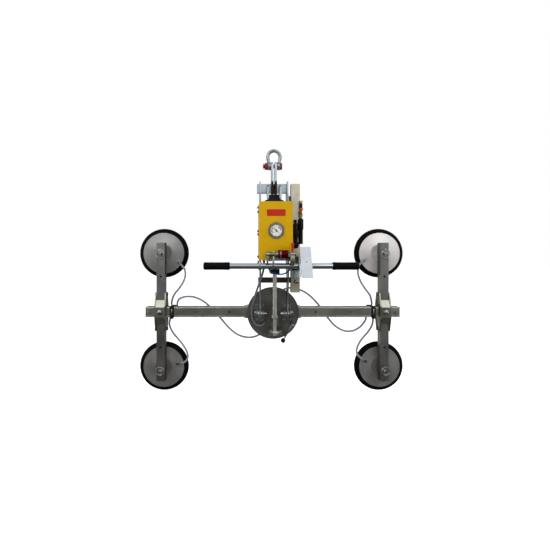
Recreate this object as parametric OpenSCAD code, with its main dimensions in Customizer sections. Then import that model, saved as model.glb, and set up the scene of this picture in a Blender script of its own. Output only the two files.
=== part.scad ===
// Vacuum lifter for glass panels: a bow shackle, a stroke pump under a cover, and a turning frame of four pads.
// Heights and depths are measured from the beam: z = 0 on the beam's axis, y = 0 on its front face.
// The whole drawing is then moved so that its origin is the crane hook's seat in the shackle bow.

/* [Shackle] */
// Diameter of the bow's round bar
bow_d = 19; // [16:0.5:22]
// Clear width inside the bow
bow_in = 51; // [46:1:60]
// Clear width between the ears
jaw = 32; // [32:0.5:36]
// Thickness of one ear
ear_t = 18; // [14:0.5:20]
// Outside diameter of the ears
ear_d = 44; // [38:1:50]
// Diameter of the shackle pin
pin_d = 22; // [18:0.5:24]
// Height of the hook's seat above the pin axis
seat_rise = 78; // [76:1:95]
// Height of the pin axis above the beam axis
pin_z = 845; // [820:1:860]
// Depth of the pin axis
pin_y = -105; // [-108:1:-103]

/* [Lifting bars and pump] */
// Thickness of one lifting bar
bar_t = 12; // [9:0.5:12]
// Gap between the two lifting bars
bar_gap = 7.6; // [5:0.2:7.6]
// Depth of the lifting bars
bar_w = 46; // [40:1:46]
// Depth of the bars' lower ends below the pump's top edge
bar_drop = 5; // [3:1:10]
// Lower and upper height of the spacer block
block_z = [690, 735];
// Bore of the pump cylinder
pump_bore = 98; // [80:1:104]
// Wall of the pump cylinder
pump_wall = 6; // [4:0.5:8]
// Height of the pump cylinder's foot
pump_foot = 345; // [340:1:380]
// Drop of the pump cylinder's top edge below the cross tube
pump_drop = 100; // [97:1:102]
// Thickness of the pump's end plates
head_t = 16; // [10:1:18]
// Thickness of the piston
piston_t = 24; // [16:1:30]

/* [Housing] */
// Clear width between the side plates
plate_gap = 148; // [144:1:150]
// Thickness of the side plates
plate_t = 8; // [6:0.5:8]
// Height of the side plates' top edge
plate_top = 759; // [751:1:770]
// Size of the cross tube
cross_w = 50; // [40:1:50]
// Depth of the cross tube
cross_depth = 48; // [40:1:48]
// Underside of the cross tube
cross_z = 700; // [695:1:700]
// Thickness of the guide cheeks
cheek_t = 11; // [8:0.5:11]
// Clear width between the guide cheeks
cheek_gap = 60; // [56:1:66]
// Outside width of the cover
cover_w = 176; // [174:1:184]
// Front face of the cover
cover_y = -270; // [-275:1:-265]
// Lower edge of the cover
cover_foot = 316; // [312:1:318]
// Upper edge of the cover
cover_top = 624; // [622:1:632]
// Sheet thickness of the cover
sheet_t = 2; // [1.5:0.5:3]
// Centre height of the gauge
gauge_z = 470; // [460:1:500]
// Flange diameter of the gauge
gauge_d = 88; // [80:1:96]
// Size of the label plate
label_size = [98, 35];
// Centre height of the label plate
label_z = 564; // [555:1:580]

/* [Tank and fittings] */
// Size of the square vacuum tank tube
tank_w = 50; // [46:1:50]
// Gap between the cover and the tank
tank_gap = 9; // [8:1:11]
// Rear face of the tank
tank_back = -60; // [-62:1:-58]
// Lower end of the tank
tank_foot = 128; // [110:1:140]
// Upper end of the tank
tank_top = 745; // [730:1:760]
// Size of the rear cross bar
rail_w = 30; // [26:1:30]
// Underside of the rear cross bar
rail_z = 184; // [182:1:186]
// Height of the valve row's axis
valve_z = 345; // [343:1:350]
// Depth of the valve row's axis
valve_y = -300; // [-302:1:-298]
// Diameter of the slide sleeve
sleeve_d = 45; // [40:1:46]
// Length of the slide sleeve
sleeve_len = 51; // [40:1:51]
// Travel of the slide sleeve
sleeve_travel = 10; // [6:1:10]
// Lower end of the black filter canister
can_foot = 380; // [375:1:390]
// Length of the black filter canister
can_len = 160; // [150:1:165]
// Diameter of the canister
can_d = 30; // [28:1:31]
// Diameter of the canister's wide foot
can_foot_d = 34; // [30:1:34]
// Height of the canister's wide foot
can_foot_h = 30; // [20:1:34]
// Length of the canister's neck above its foot
can_neck = 29; // [20:1:34]
// Length of the slim pipe on top of the canister
can_stub = 21; // [12:1:24]
// Lower end of the black vacuum valve
breaker_foot = 403; // [400:1:410]
// Length of the black vacuum valve
breaker_len = 142; // [130:1:150]
// Length of the valve's slim lower part
breaker_neck = 81; // [70:1:90]
// Diameter of the valve's upper part
breaker_d = 28; // [26:1:30]
// Length of the brass manifold above the valve
manifold_len = 92; // [90:1:105]
// Diameter of the brass manifold
manifold_d = 15; // [14:1:18]
// Height of the manifold's port above its foot
port_rise = 38; // [35:1:39]
// Diameter of the filter bowl
bowl_d = 49; // [40:1:50]

/* [Handlebar] */
// Diameter of the handlebar tube
handle_d = 30; // [26:1:32]
// Height of the handlebar
handle_z = 284; // [282:1:288]
// Depth of the handlebar
handle_y = -275; // [-278:1:-272]
// Left and right end of the handlebar
handle_ends = [-380, 431];
// Length of a grip
grip_len = 138; // [110:1:150]
// Diameter of a grip
grip_d = 41; // [36:1:45]
// Width of the slanted plate
slant_w = 57; // [40:1:70]
// Length of the slanted plate
slant_len = 182; // [150:1:200]

/* [Tilting disc] */
// Depth of the tilt axis
tilt_y = -85; // [-88:1:-82]
// Height of the tilt axis
tilt_z = 4; // [2:1:6]
// Diameter of the tilt bolts
tilt_bolt_d = 16; // [12:1:16]
// Diameter of the disc
disc_d = 305; // [290:1:310]
// Thickness of the disc
disc_t = 10; // [8:1:10]
// Diameter of the stay rod
rod_d = 23; // [18:1:23]
// Depth of the stay rod's pivot bolt
rod_y = -165; // [-166:1:-164]
// Height of the stay rod's pivot bolt
rod_z = -88; // [-90:1:-87]
// Top of the stay rod
rod_top = 275; // [270:1:280]

/* [Cross frame] */
// Size of the square beam
beam_w = 60; // [56:1:60]
// Wall of the beam and arm tubes
tube_wall = 3; // [2:0.5:4]
// Length of the beam
beam_len = 1510; // [1480:2:1560]
// Distance of the pad columns from the beam's ends
column_inset = 85; // [83:1:95]
// Pitch of the beam's index holes
index_pitch = 206; // [180:1:206]
// Diameter of the index holes in the beam's front wall and in the arms
index_d = 13; // [10:0.5:16]
// Half length of the centre sleeve
sleeve_half = 168; // [150:1:168]
// Wall of the centre sleeve
sleeve_wall = 4.7; // [3:0.1:4.7]
// Running clearance of the clamp on the beam
slide_gap = 0.3; // [0.2:0.05:0.5]
// Reach of a clamp's cheeks above and below the beam axis
clamp_reach = 115; // [112:1:125]
// Thickness of a clamp's cheeks
clamp_t = 8; // [6:0.5:8]
// Size of the square arms
arm_w = 50; // [46:1:50]
// Height of the arms' ends above the beam axis
arm_end = 415; // [400:1:430]
// Height of the index holes in the arms
arm_hole_z = 212; // [200:1:230]

/* [Pads] */
// Height of the pad centres above the beam axis
pad_z = 352; // [345:1:360]
// Diameter of the rubber seal
seal_d = 305; // [290:1:315]
// Diameter of the pad's back plate
back_d = 262; // [240:1:270]
// Rear face of the back plate
back_y = 90; // [90:1:92]
// Thickness of the back plate
back_t = 6; // [4:1:8]
// Thickness of the rubber seal at its lip
seal_t = 20; // [16:1:24]
// Diameter of the pad stem
stem_d = 22; // [18:1:24]
// Diameter of the pad's pivot pin
pivot_d = 10; // [8:1:12]
// Outside diameter of the braided vacuum hoses
hose_d = 12; // [10:1:12]
// Outside diameter of the small air hoses
air_d = 8; // [6:1:8]

/* [Hidden] */
$fn = 64;

fit = 0.1;                            // radial clearance of a pin or shaft in its hole
seat_z = pin_z + seat_rise;           // the hook's seat
ear_x = (jaw + ear_t) / 2;            // middle of an ear
bars_out = bar_gap / 2 + bar_t;       // outer face of a lifting bar
pump_out = pump_bore + 2 * pump_wall; // outside diameter of the pump cylinder
pump_top = cross_z - pump_drop;
bar_foot = pump_top - bar_drop;
plate_in = plate_gap / 2;
plate_out = plate_in + plate_t;
cross_front = pin_y + bar_w / 2;      // the cross tube lies right behind the bars
cross_back = cross_front + cross_depth;
plate_front = -150;
plate_step = -110;
cover_out = cover_w / 2;
cover_in = cover_out - sheet_t;
cover_back = -46;
tank_x = cover_out + tank_gap;
tank_front = tank_back - tank_w;
tank_right = tank_x + tank_w;
rail_front = tilt_y - rail_w;
rail_top = rail_z + rail_w;
disc_back = -20;
disc_front = disc_back - disc_t;
lug_base = 6;                         // thickness of a bracket's base plate on the disc
lug_face = disc_front - lug_base;
lug_t = 8;
lug_in = plate_in - 8;                // inner face of the bush between a lug's ears
lug_out = plate_out + 8;
lug_bolt_x = [lug_in - lug_t / 2, lug_out + lug_t / 2];
rod_x = [-22, 31];                    // outer faces of the stay rod's bracket
lug_bolt_rise = 40;                   // distance of the lug bolts above and below the tilt axis
beam_h = beam_w / 2;
column_x = beam_len / 2 - column_inset;
sleeve_in = beam_w + 2 * slide_gap;
sleeve_out = sleeve_in + 2 * sleeve_wall;
sleeve_front = beam_h - sleeve_out / 2;
arm_y = beam_h - arm_w / 2;           // front face of the arms, level with the beam's middle
arm_back = arm_y + arm_w;
arm_foot = beam_h + slide_gap;
clamp_out = arm_w / 2 + clamp_t;
clamp_front = -17;
clamp_back = beam_w + 17;
clamp_bolt_d = 10;
clamp_bolt_z = clamp_reach - 10;
stop_head = 17;                       // across the flats of the end stops' heads
stop_x = beam_len / 2 - stop_head;
strap_x = column_x - 68;
main_tail = 17.5;                     // distance of a main hose's tail from the strap's middle
union_x = 22;                         // distance of the tails on the frame's distributor from the centre
seal_y = back_y + back_t;
seal_face = seal_y + seal_t;
stem_y = 78;                          // depth of the pads' tilt axes
union_y = 86;                         // depth of the hose tails on the distributors
tail_d = hose_d - 4;

// Hose elbows on the back plates: x and z from the pad's centre
elbow_ul = [90, -51];
elbow_bl = [89, 22];
elbow_ur = [-95, -38];
elbow_br = [-94, 39];

// Routes of the hoses, chosen by hand for one distance of the columns, and moved with the columns
route_column = 670;
shift = column_x - route_column;
function moved(p, by) = [for (q = p) q + [by, 0, 0]];
function spread(p) = let(span = route_column - 68 - main_tail - union_x)
    [for (q = p) q + [sign(q[0]) * (abs(q[0]) - union_x) / span * shift, 0, 0]];
route_ul = moved([[-620, 86, 34.3], [-620, 86, 50], [-606, 84, 92], [-575, 81, 132], [-546, 78, 176],
    [-534, 78, 218], [-538, 78, 250], [-551, 78, 270], [-566, 78, 286]], -shift);
route_bl = moved([[-628, 86, -34.3], [-629, 86, -50], [-634, 88, -92], [-614, 88, -138], [-580, 85, -179],
    [-545, 82, -222], [-522, 78, -264], [-520, 78, -296], [-537, 78, -319], [-561, 78, -325]], -shift);
route_ur = moved([[620, 86, 34.3], [620, 86, 50], [609, 84, 90], [580, 81, 130], [552, 78, 172],
    [535, 78, 216], [533, 78, 252], [543, 78, 281], [560, 78, 301]], shift);
route_br = moved([[628, 86, -34.3], [629, 86, -50], [623, 88, -94], [596, 87, -138], [560, 84, -178],
    [533, 80, -220], [524, 78, -260], [538, 78, -284], [560, 78, -301]], shift);
route_left = spread([[-584.5, 86, 34.3], [-584.5, 86, 46], [-574, 85, 67], [-550, 83, 79], [-524, 80, 84],
    [-478, 76, 81], [-424, 74, 57], [-374, 74, 15], [-318, 74, -46], [-262, 74, -110],
    [-206, 75, -152], [-140, 76, -168], [-82, 80, -154], [-40, 85, -118], [-22, 86, -68],
    [-22, 86, -38.3]]);
route_right = spread([[22, 86, 38.3], [24, 86, 66], [42, 83, 103], [82, 78, 132], [130, 75, 138],
    [180, 74, 124], [232, 74, 92], [285, 74, 38], [338, 74, -36], [388, 74, -94], [444, 76, -126],
    [500, 79, -128], [547, 83, -104], [581, 86, -64], [584.5, 86, -44],
    [584.5, 86, -34.3]]);
route_supply = [[-58, -140, 305.7], [-58, -140, 290], [-61, -148, 260], [-70, -158, 228],
    [-82, -158, 194], [-94, -144, 156], [-106, -120, 116], [-116, -92, 76], [-123, -66, 34],
    [-125, -49, -8], [-114, -46, -47], [-92, -46, -69], [-67, -46, -70], [-53, -46, -59]];
route_air_side = [[111, -127, 534.5], [106, -127, 533.6], [100.5, -127, 526], [99.2, -127, 503],
    [97.6, -127, 491], [93.3, -127, 489]];
route_air_front = [[-7.7, -296, 316], [47.7, -296, 316]];
route_air_low = [[-20.3, -212, 470], [-34, -214, 464], [-44, -224, 440], [-46, -236, 370],
    [-45, -240, 306], [-34, -240, 262], [-4, -240, 243], [36, -240, 240], [68, -241, 256],
    [82, -245, 284], [82, -246, 295.7]];
hose_gap = 0.3;                       // between a hose's end and the tail it sits on

// Moves the drawing so that the hook's seat is the origin.
module in_place() translate([0, -pin_y, -seat_z]) children();

// Round bars and bored hexagons along one axis, each between two coordinates.
module along_x(d, x0, x1, y, z, n = $fn) {
    translate([x0, y, z]) rotate([0, 90, 0]) cylinder(d = d, h = x1 - x0, $fn = n);
}
module along_y(d, y0, y1, x, z, n = $fn) {
    translate([x, y1, z]) rotate([90, 0, 0]) cylinder(d = d, h = y1 - y0, $fn = n);
}
module along_z(d, z0, z1, x, y, n = $fn) {
    translate([x, y, z0]) cylinder(d = d, h = z1 - z0, $fn = n);
}
function across(flats) = flats / cos(30);

// A box between two corners.
module block(x, y, z) {
    translate([x[0], y[0], z[0]]) cube([x[1] - x[0], y[1] - y[0], z[1] - z[0]]);
}
// An outline in depth and height, made into a plate between two x values.
module plate_x(x0, x1) {
    translate([x0, 0, 0]) rotate([90, 0, 90]) linear_extrude(x1 - x0) children();
}
// An outline in width and height, made into a plate between two y values.
module plate_y(y0, y1) {
    translate([0, y1, 0]) rotate([90, 0, 0]) linear_extrude(y1 - y0) children();
}
// The same piece on the left and on the right.
module both_sides() {
    children();
    mirror([1, 0, 0]) children();
}

// A hose: rings square to the route, turned so that their sides never twist.
function unit(v) = v / norm(v);
function heading(p, i) = unit(p[min(i + 1, len(p) - 1)] - p[max(i - 1, 0)]);
function ring(p, i, d, n) = let(
    t = heading(p, i),
    u = unit(cross([0, 1, 0], t)),
    v = cross(t, u))
    [for (k = [0:n - 1]) p[i] + d / 2 * (cos(360 * k / n) * u + sin(360 * k / n) * v)];
module hose(p, d, n = 10) {
    rings = [for (i = [0:len(p) - 1]) each ring(p, i, d, n)];
    last = (len(p) - 1) * n;
    sides = [for (i = [0:len(p) - 2], k = [0:n - 1])
        [i * n + k, (i + 1) * n + k, (i + 1) * n + (k + 1) % n, i * n + (k + 1) % n]];
    first_cap = [for (k = [0:n - 1]) k];
    last_cap = [for (k = [n - 1:-1:0]) last + k];
    polyhedron(rings, concat([first_cap, last_cap], sides));
}

// Shackle
module shackle_bow() color("silver") in_place() {
    arc_r = (bow_in + bow_d) / 2;
    arc_z = seat_z - bow_in / 2;
    drop = arc_z - pin_z;
    reach = norm([ear_x, drop]);
    turn = acos(arc_r / reach) - atan2(drop, ear_x);
    leg = sqrt(reach * reach - arc_r * arc_r);
    lap = 3;
    leg_d = bow_d + 0.6;
    difference() {
        union() {
            translate([0, pin_y, arc_z]) rotate([90, 0, 0]) rotate([0, 0, turn])
                rotate_extrude(angle = 180 - 2 * turn) translate([arc_r, 0]) circle(d = bow_d);
            both_sides() translate([arc_r * cos(turn), pin_y, arc_z + arc_r * sin(turn)])
                rotate([0, 180 - turn, 0]) translate([0, 0, -lap]) cylinder(d = leg_d, h = leg + lap);
            both_sides() along_x(ear_d, jaw / 2, jaw / 2 + ear_t, pin_y, pin_z);
        }
        block([-jaw / 2, jaw / 2], [pin_y - bow_d, pin_y + bow_d], [pin_z - ear_d / 2, pin_z + ear_d / 2]);
        along_x(pin_d + 2 * fit, -ear_d, ear_d, pin_y, pin_z);
        both_sides() along_x(ear_d, jaw / 2 + ear_t, ear_d, pin_y, pin_z);
    }
}

module shackle_pin() color("darkred") in_place() {
    ear_face = jaw / 2 + ear_t;
    thread_end = -ear_face - 28;
    nut_t = 18;
    hex_t = 12;
    nut_d = pin_d * 1.6;
    split_pin_d = 4;
    along_x(pin_d, thread_end, ear_face, pin_y, pin_z);
    along_x(across(nut_d), ear_face, ear_face + hex_t, pin_y, pin_z, 6);
    along_x(across(nut_d), -ear_face - nut_t, -ear_face, pin_y, pin_z, 6);
    along_z(split_pin_d, pin_z - nut_d / 2, pin_z + nut_d / 2, thread_end + 5, pin_y, 24);
}

// Lifting bars and pump
module lift_bars() color("lightsteelblue") in_place() {
    both_sides() difference() {
        plate_x(bar_gap / 2, bars_out) union() {
            translate([pin_y, pin_z]) circle(d = bar_w);
            translate([pin_y - bar_w / 2, bar_foot]) square([bar_w, pin_z - bar_foot]);
        }
        along_x(pin_d + 2 * fit, 0, jaw, pin_y, pin_z);
    }
    block([-bar_gap / 2, bar_gap / 2], [pin_y - bar_w / 2 + 2, pin_y + bar_w / 2 - 2], block_z);
}

module piston() color("dimgray") in_place() {
    groove = 5;
    difference() {
        along_z(pump_bore - 2 * fit, bar_foot - piston_t, bar_foot, 0, pin_y);
        for (z = [bar_foot - piston_t * 0.7, bar_foot - piston_t * 0.3 - groove / 2])
            translate([0, pin_y, z]) rotate_extrude() translate([pump_bore / 2 - groove, 0])
                square([groove * 2, groove / 2]);
    }
}

module pump_cylinder() color("gainsboro") in_place() {
    half = pump_out / 2 + 2;
    port_d = 16;
    slot = [bars_out + 0.6, bar_w / 2 + 0.6];
    difference() {
        along_z(pump_out, pump_foot, pump_top, 0, pin_y);
        along_z(pump_bore, pump_foot - 1, pump_top + 1, 0, pin_y);
    }
    difference() {
        block([-plate_in, plate_in], [pin_y - half, pin_y + half], [pump_foot - head_t, pump_foot]);
        along_z(port_d / 2, pump_foot - head_t - 1, pump_foot + 1, 0, pin_y);
    }
    difference() {
        block([-plate_in, plate_in], [pin_y - half, pin_y + half], [pump_top, pump_top + head_t]);
        block([-slot[0], slot[0]], [pin_y - slot[1], pin_y + slot[1]], [pump_top - 1, pump_top + head_t + 1]);
    }
    along_z(port_d, route_supply[0][2] + hose_gap, pump_foot - head_t, route_supply[0][0], route_supply[0][1]);
}

module boot() color("#1b1c22") in_place() {
    neck = 30;
    flare = 58;
    depth = 34;
    foot = pump_top + head_t;
    flare_z = foot + 26;
    slot = [bars_out + 0.5, bar_w / 2 + 0.5];
    difference() {
        union() {
            block([-flare - 8, flare + 8], [pin_y - depth - 8, pin_y + depth + 8], [foot, foot + 6]);
            plate_y(pin_y - depth, pin_y + depth) polygon([[-flare, foot + 6], [flare, foot + 6],
                [flare, flare_z], [neck, flare_z + 14], [neck, foot + 64], [-neck, foot + 64],
                [-neck, flare_z + 14], [-flare, flare_z]]);
        }
        block([-slot[0], slot[0]], [pin_y - slot[1], pin_y + slot[1]], [foot - 1, foot + 65]);
    }
}

// Housing
module side_plates() color("lightsteelblue") in_place() both_sides() {
    eye_r = 24;
    neck_z = tilt_z + 56;
    neck_back = tilt_y + 19;
    boss_d = 36;
    difference() {
        union() {
            plate_x(plate_in, plate_out) union() {
                polygon([[plate_front, pump_top + 40], [plate_step, cross_z - 10], [plate_step, plate_top],
                    [cross_front, plate_top], [cross_front, cross_z], [cross_back, cross_z],
                    [cross_back, rail_top + 46], [neck_back, rail_top + 6], [neck_back, neck_z],
                    [tilt_y + eye_r, tilt_z], [tilt_y - eye_r, tilt_z], [plate_step, neck_z],
                    [plate_front, rail_top + 36]]);
                translate([tilt_y, tilt_z]) circle(r = eye_r);
            }
            along_x(boss_d, lug_in + 0.3, lug_out - 0.3, tilt_y, tilt_z);
        }
        along_x(tilt_bolt_d + 2 * fit, lug_in - 1, lug_out + 1, tilt_y, tilt_z);
        block([plate_in - 1, plate_out + 1], [rail_front, tilt_y], [rail_z, rail_top]);
    }
}

module cross_tube() color("lightsteelblue") in_place() {
    wall = 3;
    left = -plate_out - 13;
    tube_z = [cross_z, cross_z + cross_w];
    cheek_y = pin_y - bar_w / 2 - 6;
    cheek_in = cheek_gap / 2;
    difference() {
        block([left, plate_out], [cross_front, cross_back], tube_z);
        block([left - 1, plate_out + 1], [cross_front + wall, cross_back - wall],
            [tube_z[0] + wall, tube_z[1] - wall]);
    }
    both_sides() plate_x(cheek_in, cheek_in + cheek_t) difference() {
        polygon([[cross_front, cross_z - 6], [cross_front, cross_z + 36], [cheek_y + 12, cross_z + 36],
            [cheek_y, cross_z + 24], [cheek_y, cross_z - 42], [cheek_y + 20, cross_z - 42]]);
        translate([cheek_y + 14, cross_z + 14]) circle(d = 10);
    }
}

module cover() color("#cfa205") in_place() difference() {
    gauge_hole = gauge_d - 24;
    block([-cover_out, cover_out], [cover_y, cover_back], [cover_foot, cover_top]);
    block([-cover_in, cover_in], [cover_y + sheet_t, cover_back + 1], [cover_foot - 1, cover_top - sheet_t]);
    block([-cover_in, cover_in], [plate_front - 6, cover_back + 1], [cover_foot - 1, cover_top + 1]);
    along_y(gauge_hole, cover_y - 1, cover_y + sheet_t + 1, 0, gauge_z);
    both_sides() for (z = cover_bolt_z)
        along_x(cover_bolt_d + 0.4, cover_in - 1, cover_out + 1, cover_bolt_y, z, 32);
}

cover_bolt_d = 8;
cover_bolt_z = [cover_foot + 16, cover_foot + 141, cover_foot + 159, cover_top - 40, cover_top - 15];
cover_bolt_y = -128;

module label_plate() color("#ad210c") in_place() {
    block([-label_size[0] / 2, label_size[0] / 2], [cover_y - 1, cover_y],
        [label_z - label_size[1] / 2, label_z + label_size[1] / 2]);
}

module cover_bolts() color("#2a2a2c") in_place() both_sides() for (z = cover_bolt_z) {
    spacer_d = 16;
    knob_d = 13;
    along_x(cover_bolt_d, plate_out, cover_out, cover_bolt_y, z, 32);
    along_x(spacer_d, plate_out, cover_in, cover_bolt_y, z, 32);
    along_x(knob_d, cover_out, cover_out + 7, cover_bolt_y, z, 32);
}

module gauge() color("#8f8a78") in_place() {
    case_d = gauge_d - 26;
    bezel_d = gauge_d - 18;
    glass_d = bezel_d - 8;
    flange_y = cover_y - 3;
    bezel_y = flange_y - 9;
    dial_y = flange_y - 2;
    tail_y = cover_y + 62;
    difference() {
        union() {
            along_y(gauge_d, flange_y, cover_y, 0, gauge_z);
            along_y(bezel_d, bezel_y, flange_y, 0, gauge_z);
            along_y(case_d, cover_y, cover_y + 44, 0, gauge_z);
            along_y(14, cover_y + 44, tail_y, 0, gauge_z);
            along_x(10, route_air_low[0][0] + hose_gap, 0, route_air_low[0][1], gauge_z, 32);
        }
        along_y(glass_d, bezel_y - 1, dial_y, 0, gauge_z);
    }
    along_y(3, dial_y - 5, dial_y, 0, gauge_z, 24);
    for (a = [90, 210, 330])
        along_y(7, flange_y - 2.5, flange_y, gauge_d * 0.445 * cos(a), gauge_z + gauge_d * 0.445 * sin(a), 24);
}

module gauge_needle() color("black") in_place() {
    needle_y = cover_y - 9;
    long = gauge_d * 0.24;
    short = gauge_d * 0.12;
    difference() {
        union() {
            along_y(8, needle_y - 1, needle_y + 1, 0, gauge_z, 32);
            translate([0, 0, gauge_z]) rotate([0, 45, 0]) block([-long, short], [needle_y, needle_y + 1], [-1, 1]);
        }
        along_y(3 + 2 * fit, needle_y - 2, needle_y + 2, 0, gauge_z, 24);
    }
}

// Vacuum tank and fittings
module vacuum_tank() color("#b6ae92") in_place() {
    wall = 3;
    drain_d = 14;
    drain_z = tank_foot + 26;
    middle = (tank_x + tank_right) / 2;
    difference() {
        block([tank_x, tank_right], [tank_front, tank_back], [tank_foot, tank_top]);
        block([tank_x + wall, tank_right - wall], [tank_front + wall, tank_back - wall],
            [tank_foot + wall, tank_top - wall]);
        along_y(drain_d, tank_back - wall - 1, tank_back + 1, middle, drain_z);
    }
}

module tank_brackets() color("lightsteelblue") in_place() {
    upper_z = cover_top + 20;
    block([-plate_out - rail_w / 4, tank_x], [rail_front, tilt_y], [rail_z, rail_top]);
    block([plate_out, tank_x], [rail_front, tilt_y], [upper_z, upper_z + rail_w]);
}

filter_x = tank_x + can_foot_d / 2 + 6.5;
filter_y = tank_front - can_foot_d / 2;
manifold_x = filter_x + can_d / 2 + breaker_d / 2 + 0.8;
manifold_y = tank_front - breaker_d / 2 - 0.5;
manifold_foot = breaker_foot + breaker_len;
button_z = manifold_foot + 51;

module manifold() color("#a58b4a") in_place() {
    top = manifold_foot + manifold_len;
    cap_d = manifold_d + 4;
    port_d = 10;
    port_x = tank_right - port_d / 2 - 1;
    button_x = manifold_x + 2;
    difference() {
        union() {
            along_z(manifold_d, manifold_foot, top, manifold_x, manifold_y);
            along_z(across(17), manifold_foot + 14, manifold_foot + 30, manifold_x, manifold_y, 6);
            along_y(port_d, manifold_y, tank_front, port_x, manifold_foot + port_rise, 32);
            along_y(13, manifold_y - 18, manifold_y, button_x, button_z);
        }
        along_y(6 + 2 * fit, manifold_y - 19, manifold_y - 4, button_x, button_z, 32);
    }
    along_z(cap_d, top, top + 10, manifold_x, manifold_y);
    along_x(12, cover_out, last(route_air_side)[0] - hose_gap, last(route_air_side)[1], last(route_air_side)[2]);
}

module release_button() color("#e2501f") in_place() {
    face_y = manifold_y - 18;
    along_y(15, face_y - 11, face_y - 4.3, manifold_x + 2, button_z);
    along_y(6, face_y - 4.3, manifold_y - 8.3, manifold_x + 2, button_z, 32);
}

bowl_x = tank_x + bowl_d / 2 + 4.5;
bowl_y = tank_front - bowl_d / 2 - 1.5;
bowl_z = [203, 262];

module vacuum_filters() color("#17181a") in_place() {
    can_top = can_foot + can_len;
    can_z = [can_foot + can_foot_h + can_neck, can_top - can_stub];
    cone_h = 8;
    breaker_z = [breaker_foot, breaker_foot + breaker_neck, manifold_foot];
    head = [bowl_z[1], bowl_z[1] + 28];
    along_z(can_d, can_z[0], can_z[1], filter_x, filter_y);
    along_z(12, can_z[1], can_top, filter_x, filter_y, 32);
    along_x(8, route_air_side[0][0] + hose_gap, filter_x, filter_y, route_air_side[0][2], 32);
    along_z(can_d - 8, can_foot + can_foot_h, can_z[0], filter_x, filter_y);
    along_z(can_foot_d, can_foot + cone_h, can_foot + can_foot_h, filter_x, filter_y);
    translate([filter_x, filter_y, can_foot]) cylinder(d1 = can_foot_d - 8, d2 = can_foot_d, h = cone_h);
    along_z(breaker_d, breaker_z[1], breaker_z[2], manifold_x, manifold_y);
    along_z(breaker_d - 5, breaker_z[0], breaker_z[1], manifold_x, manifold_y);
    block([bowl_x - 20, bowl_x + 20], [bowl_y - 22, tank_front], head);
}

module filter_bowl() color("#b9c4c8") in_place() difference() {
    wall = 3;
    along_z(bowl_d, bowl_z[0], bowl_z[1], bowl_x, bowl_y);
    along_z(bowl_d - 2 * wall, bowl_z[0] + wall, bowl_z[1] + 1, bowl_x, bowl_y);
    along_z(8 + 2 * fit, bowl_z[0] - 1, bowl_z[0] + wall + 1, bowl_x, bowl_y, 32);
}

module drain_knob() color("#b0a272") in_place() {
    knob_top = bowl_z[0] - 0.3;
    along_z(30, knob_top - 14, knob_top - 4, bowl_x, bowl_y);
    along_z(16, knob_top - 22, knob_top, bowl_x, bowl_y);
    along_z(8, knob_top, bowl_z[0] + 3, bowl_x, bowl_y, 32);
}

sleeve_x = [58 - sleeve_len, 58];
pipe_d = 22;
core_d = 32;
lever_x = 82;
lever_z = valve_z + 5;

module valve_row() color("#a9a596") in_place() {
    elbow_x = -45;
    hex_x = [sleeve_x[0] - sleeve_travel - 2, sleeve_x[0]];
    end_x = [58.3, 94];
    fork_w = 9;
    air = [route_air_front[0], last(route_air_front), last(route_air_low)];
    along_x(pipe_d, elbow_x, hex_x[0], valve_y, valve_z);
    along_x(10, elbow_x, air[0][0] - hose_gap, air[0][1], air[0][2], 32);
    along_x(10, air[1][0] + hose_gap, lever_x - 12, air[1][1], air[1][2], 32);
    along_y(12, valve_y + 12, air[2][1] + 7, lever_x, cover_foot - 10, 32);
    along_z(10, air[2][2] + hose_gap, cover_foot - 10, lever_x, air[2][1], 32);
    translate([elbow_x, valve_y, valve_z]) sphere(d = pipe_d + 2);
    along_y(pipe_d, valve_y, cover_y, elbow_x, valve_z);
    along_z(pipe_d - 4, cover_foot - 8, valve_z, elbow_x, valve_y);
    along_z(across(20), cover_foot + 4, cover_foot + 14, elbow_x, valve_y, 6);
    along_x(core_d - 4, hex_x[0] - 6, hex_x[0], valve_y, valve_z, 6);
    along_x(core_d, hex_x[0], end_x[0], valve_y, valve_z);
    difference() {
        union() {
            along_x(36, end_x[0], end_x[0] + 10, valve_y, valve_z, 6);
            along_x(26, end_x[0] + 10, end_x[1] + 6, valve_y, valve_z);
            along_y(24, valve_y, cover_y, end_x[0] + 16, valve_z);
            block([lever_x - 12, lever_x + 12], [valve_y - 12, valve_y + 12], [cover_foot - 17, valve_z]);
            block([lever_x - fork_w, lever_x + fork_w], [valve_y - 9, valve_y + 9], [valve_z, lever_z + 9]);
        }
        block([lever_x - 5.8, lever_x + 5.8], [valve_y - 30, valve_y + 10], [lever_z - 8, lever_z + 30]);
        along_x(6 + 2 * fit, lever_x - 20, lever_x + 20, valve_y, lever_z, 32);
    }
}

module slide_sleeve() color("#7a0f18") in_place() difference() {
    along_x(sleeve_d, sleeve_x[0], sleeve_x[1], valve_y, valve_z);
    along_x(core_d + 2 * fit, sleeve_x[0] - 1, sleeve_x[1] + 1, valve_y, valve_z);
}

module hand_lever() color("#b01812") in_place() {
    stick_d = 13;
    stick_foot = lever_z + 14;
    ball_z = lever_z + 46;
    along_x(6, lever_x - 9, lever_x + 9, valve_y, lever_z, 32);
    along_x(13, lever_x - 5.3, lever_x + 5.3, valve_y, lever_z);
    along_z(stick_d - 4, lever_z, stick_foot, lever_x, valve_y);
    along_z(stick_d, stick_foot, ball_z, lever_x, valve_y);
    translate([lever_x, valve_y, ball_z]) sphere(d = 17);
}

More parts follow.
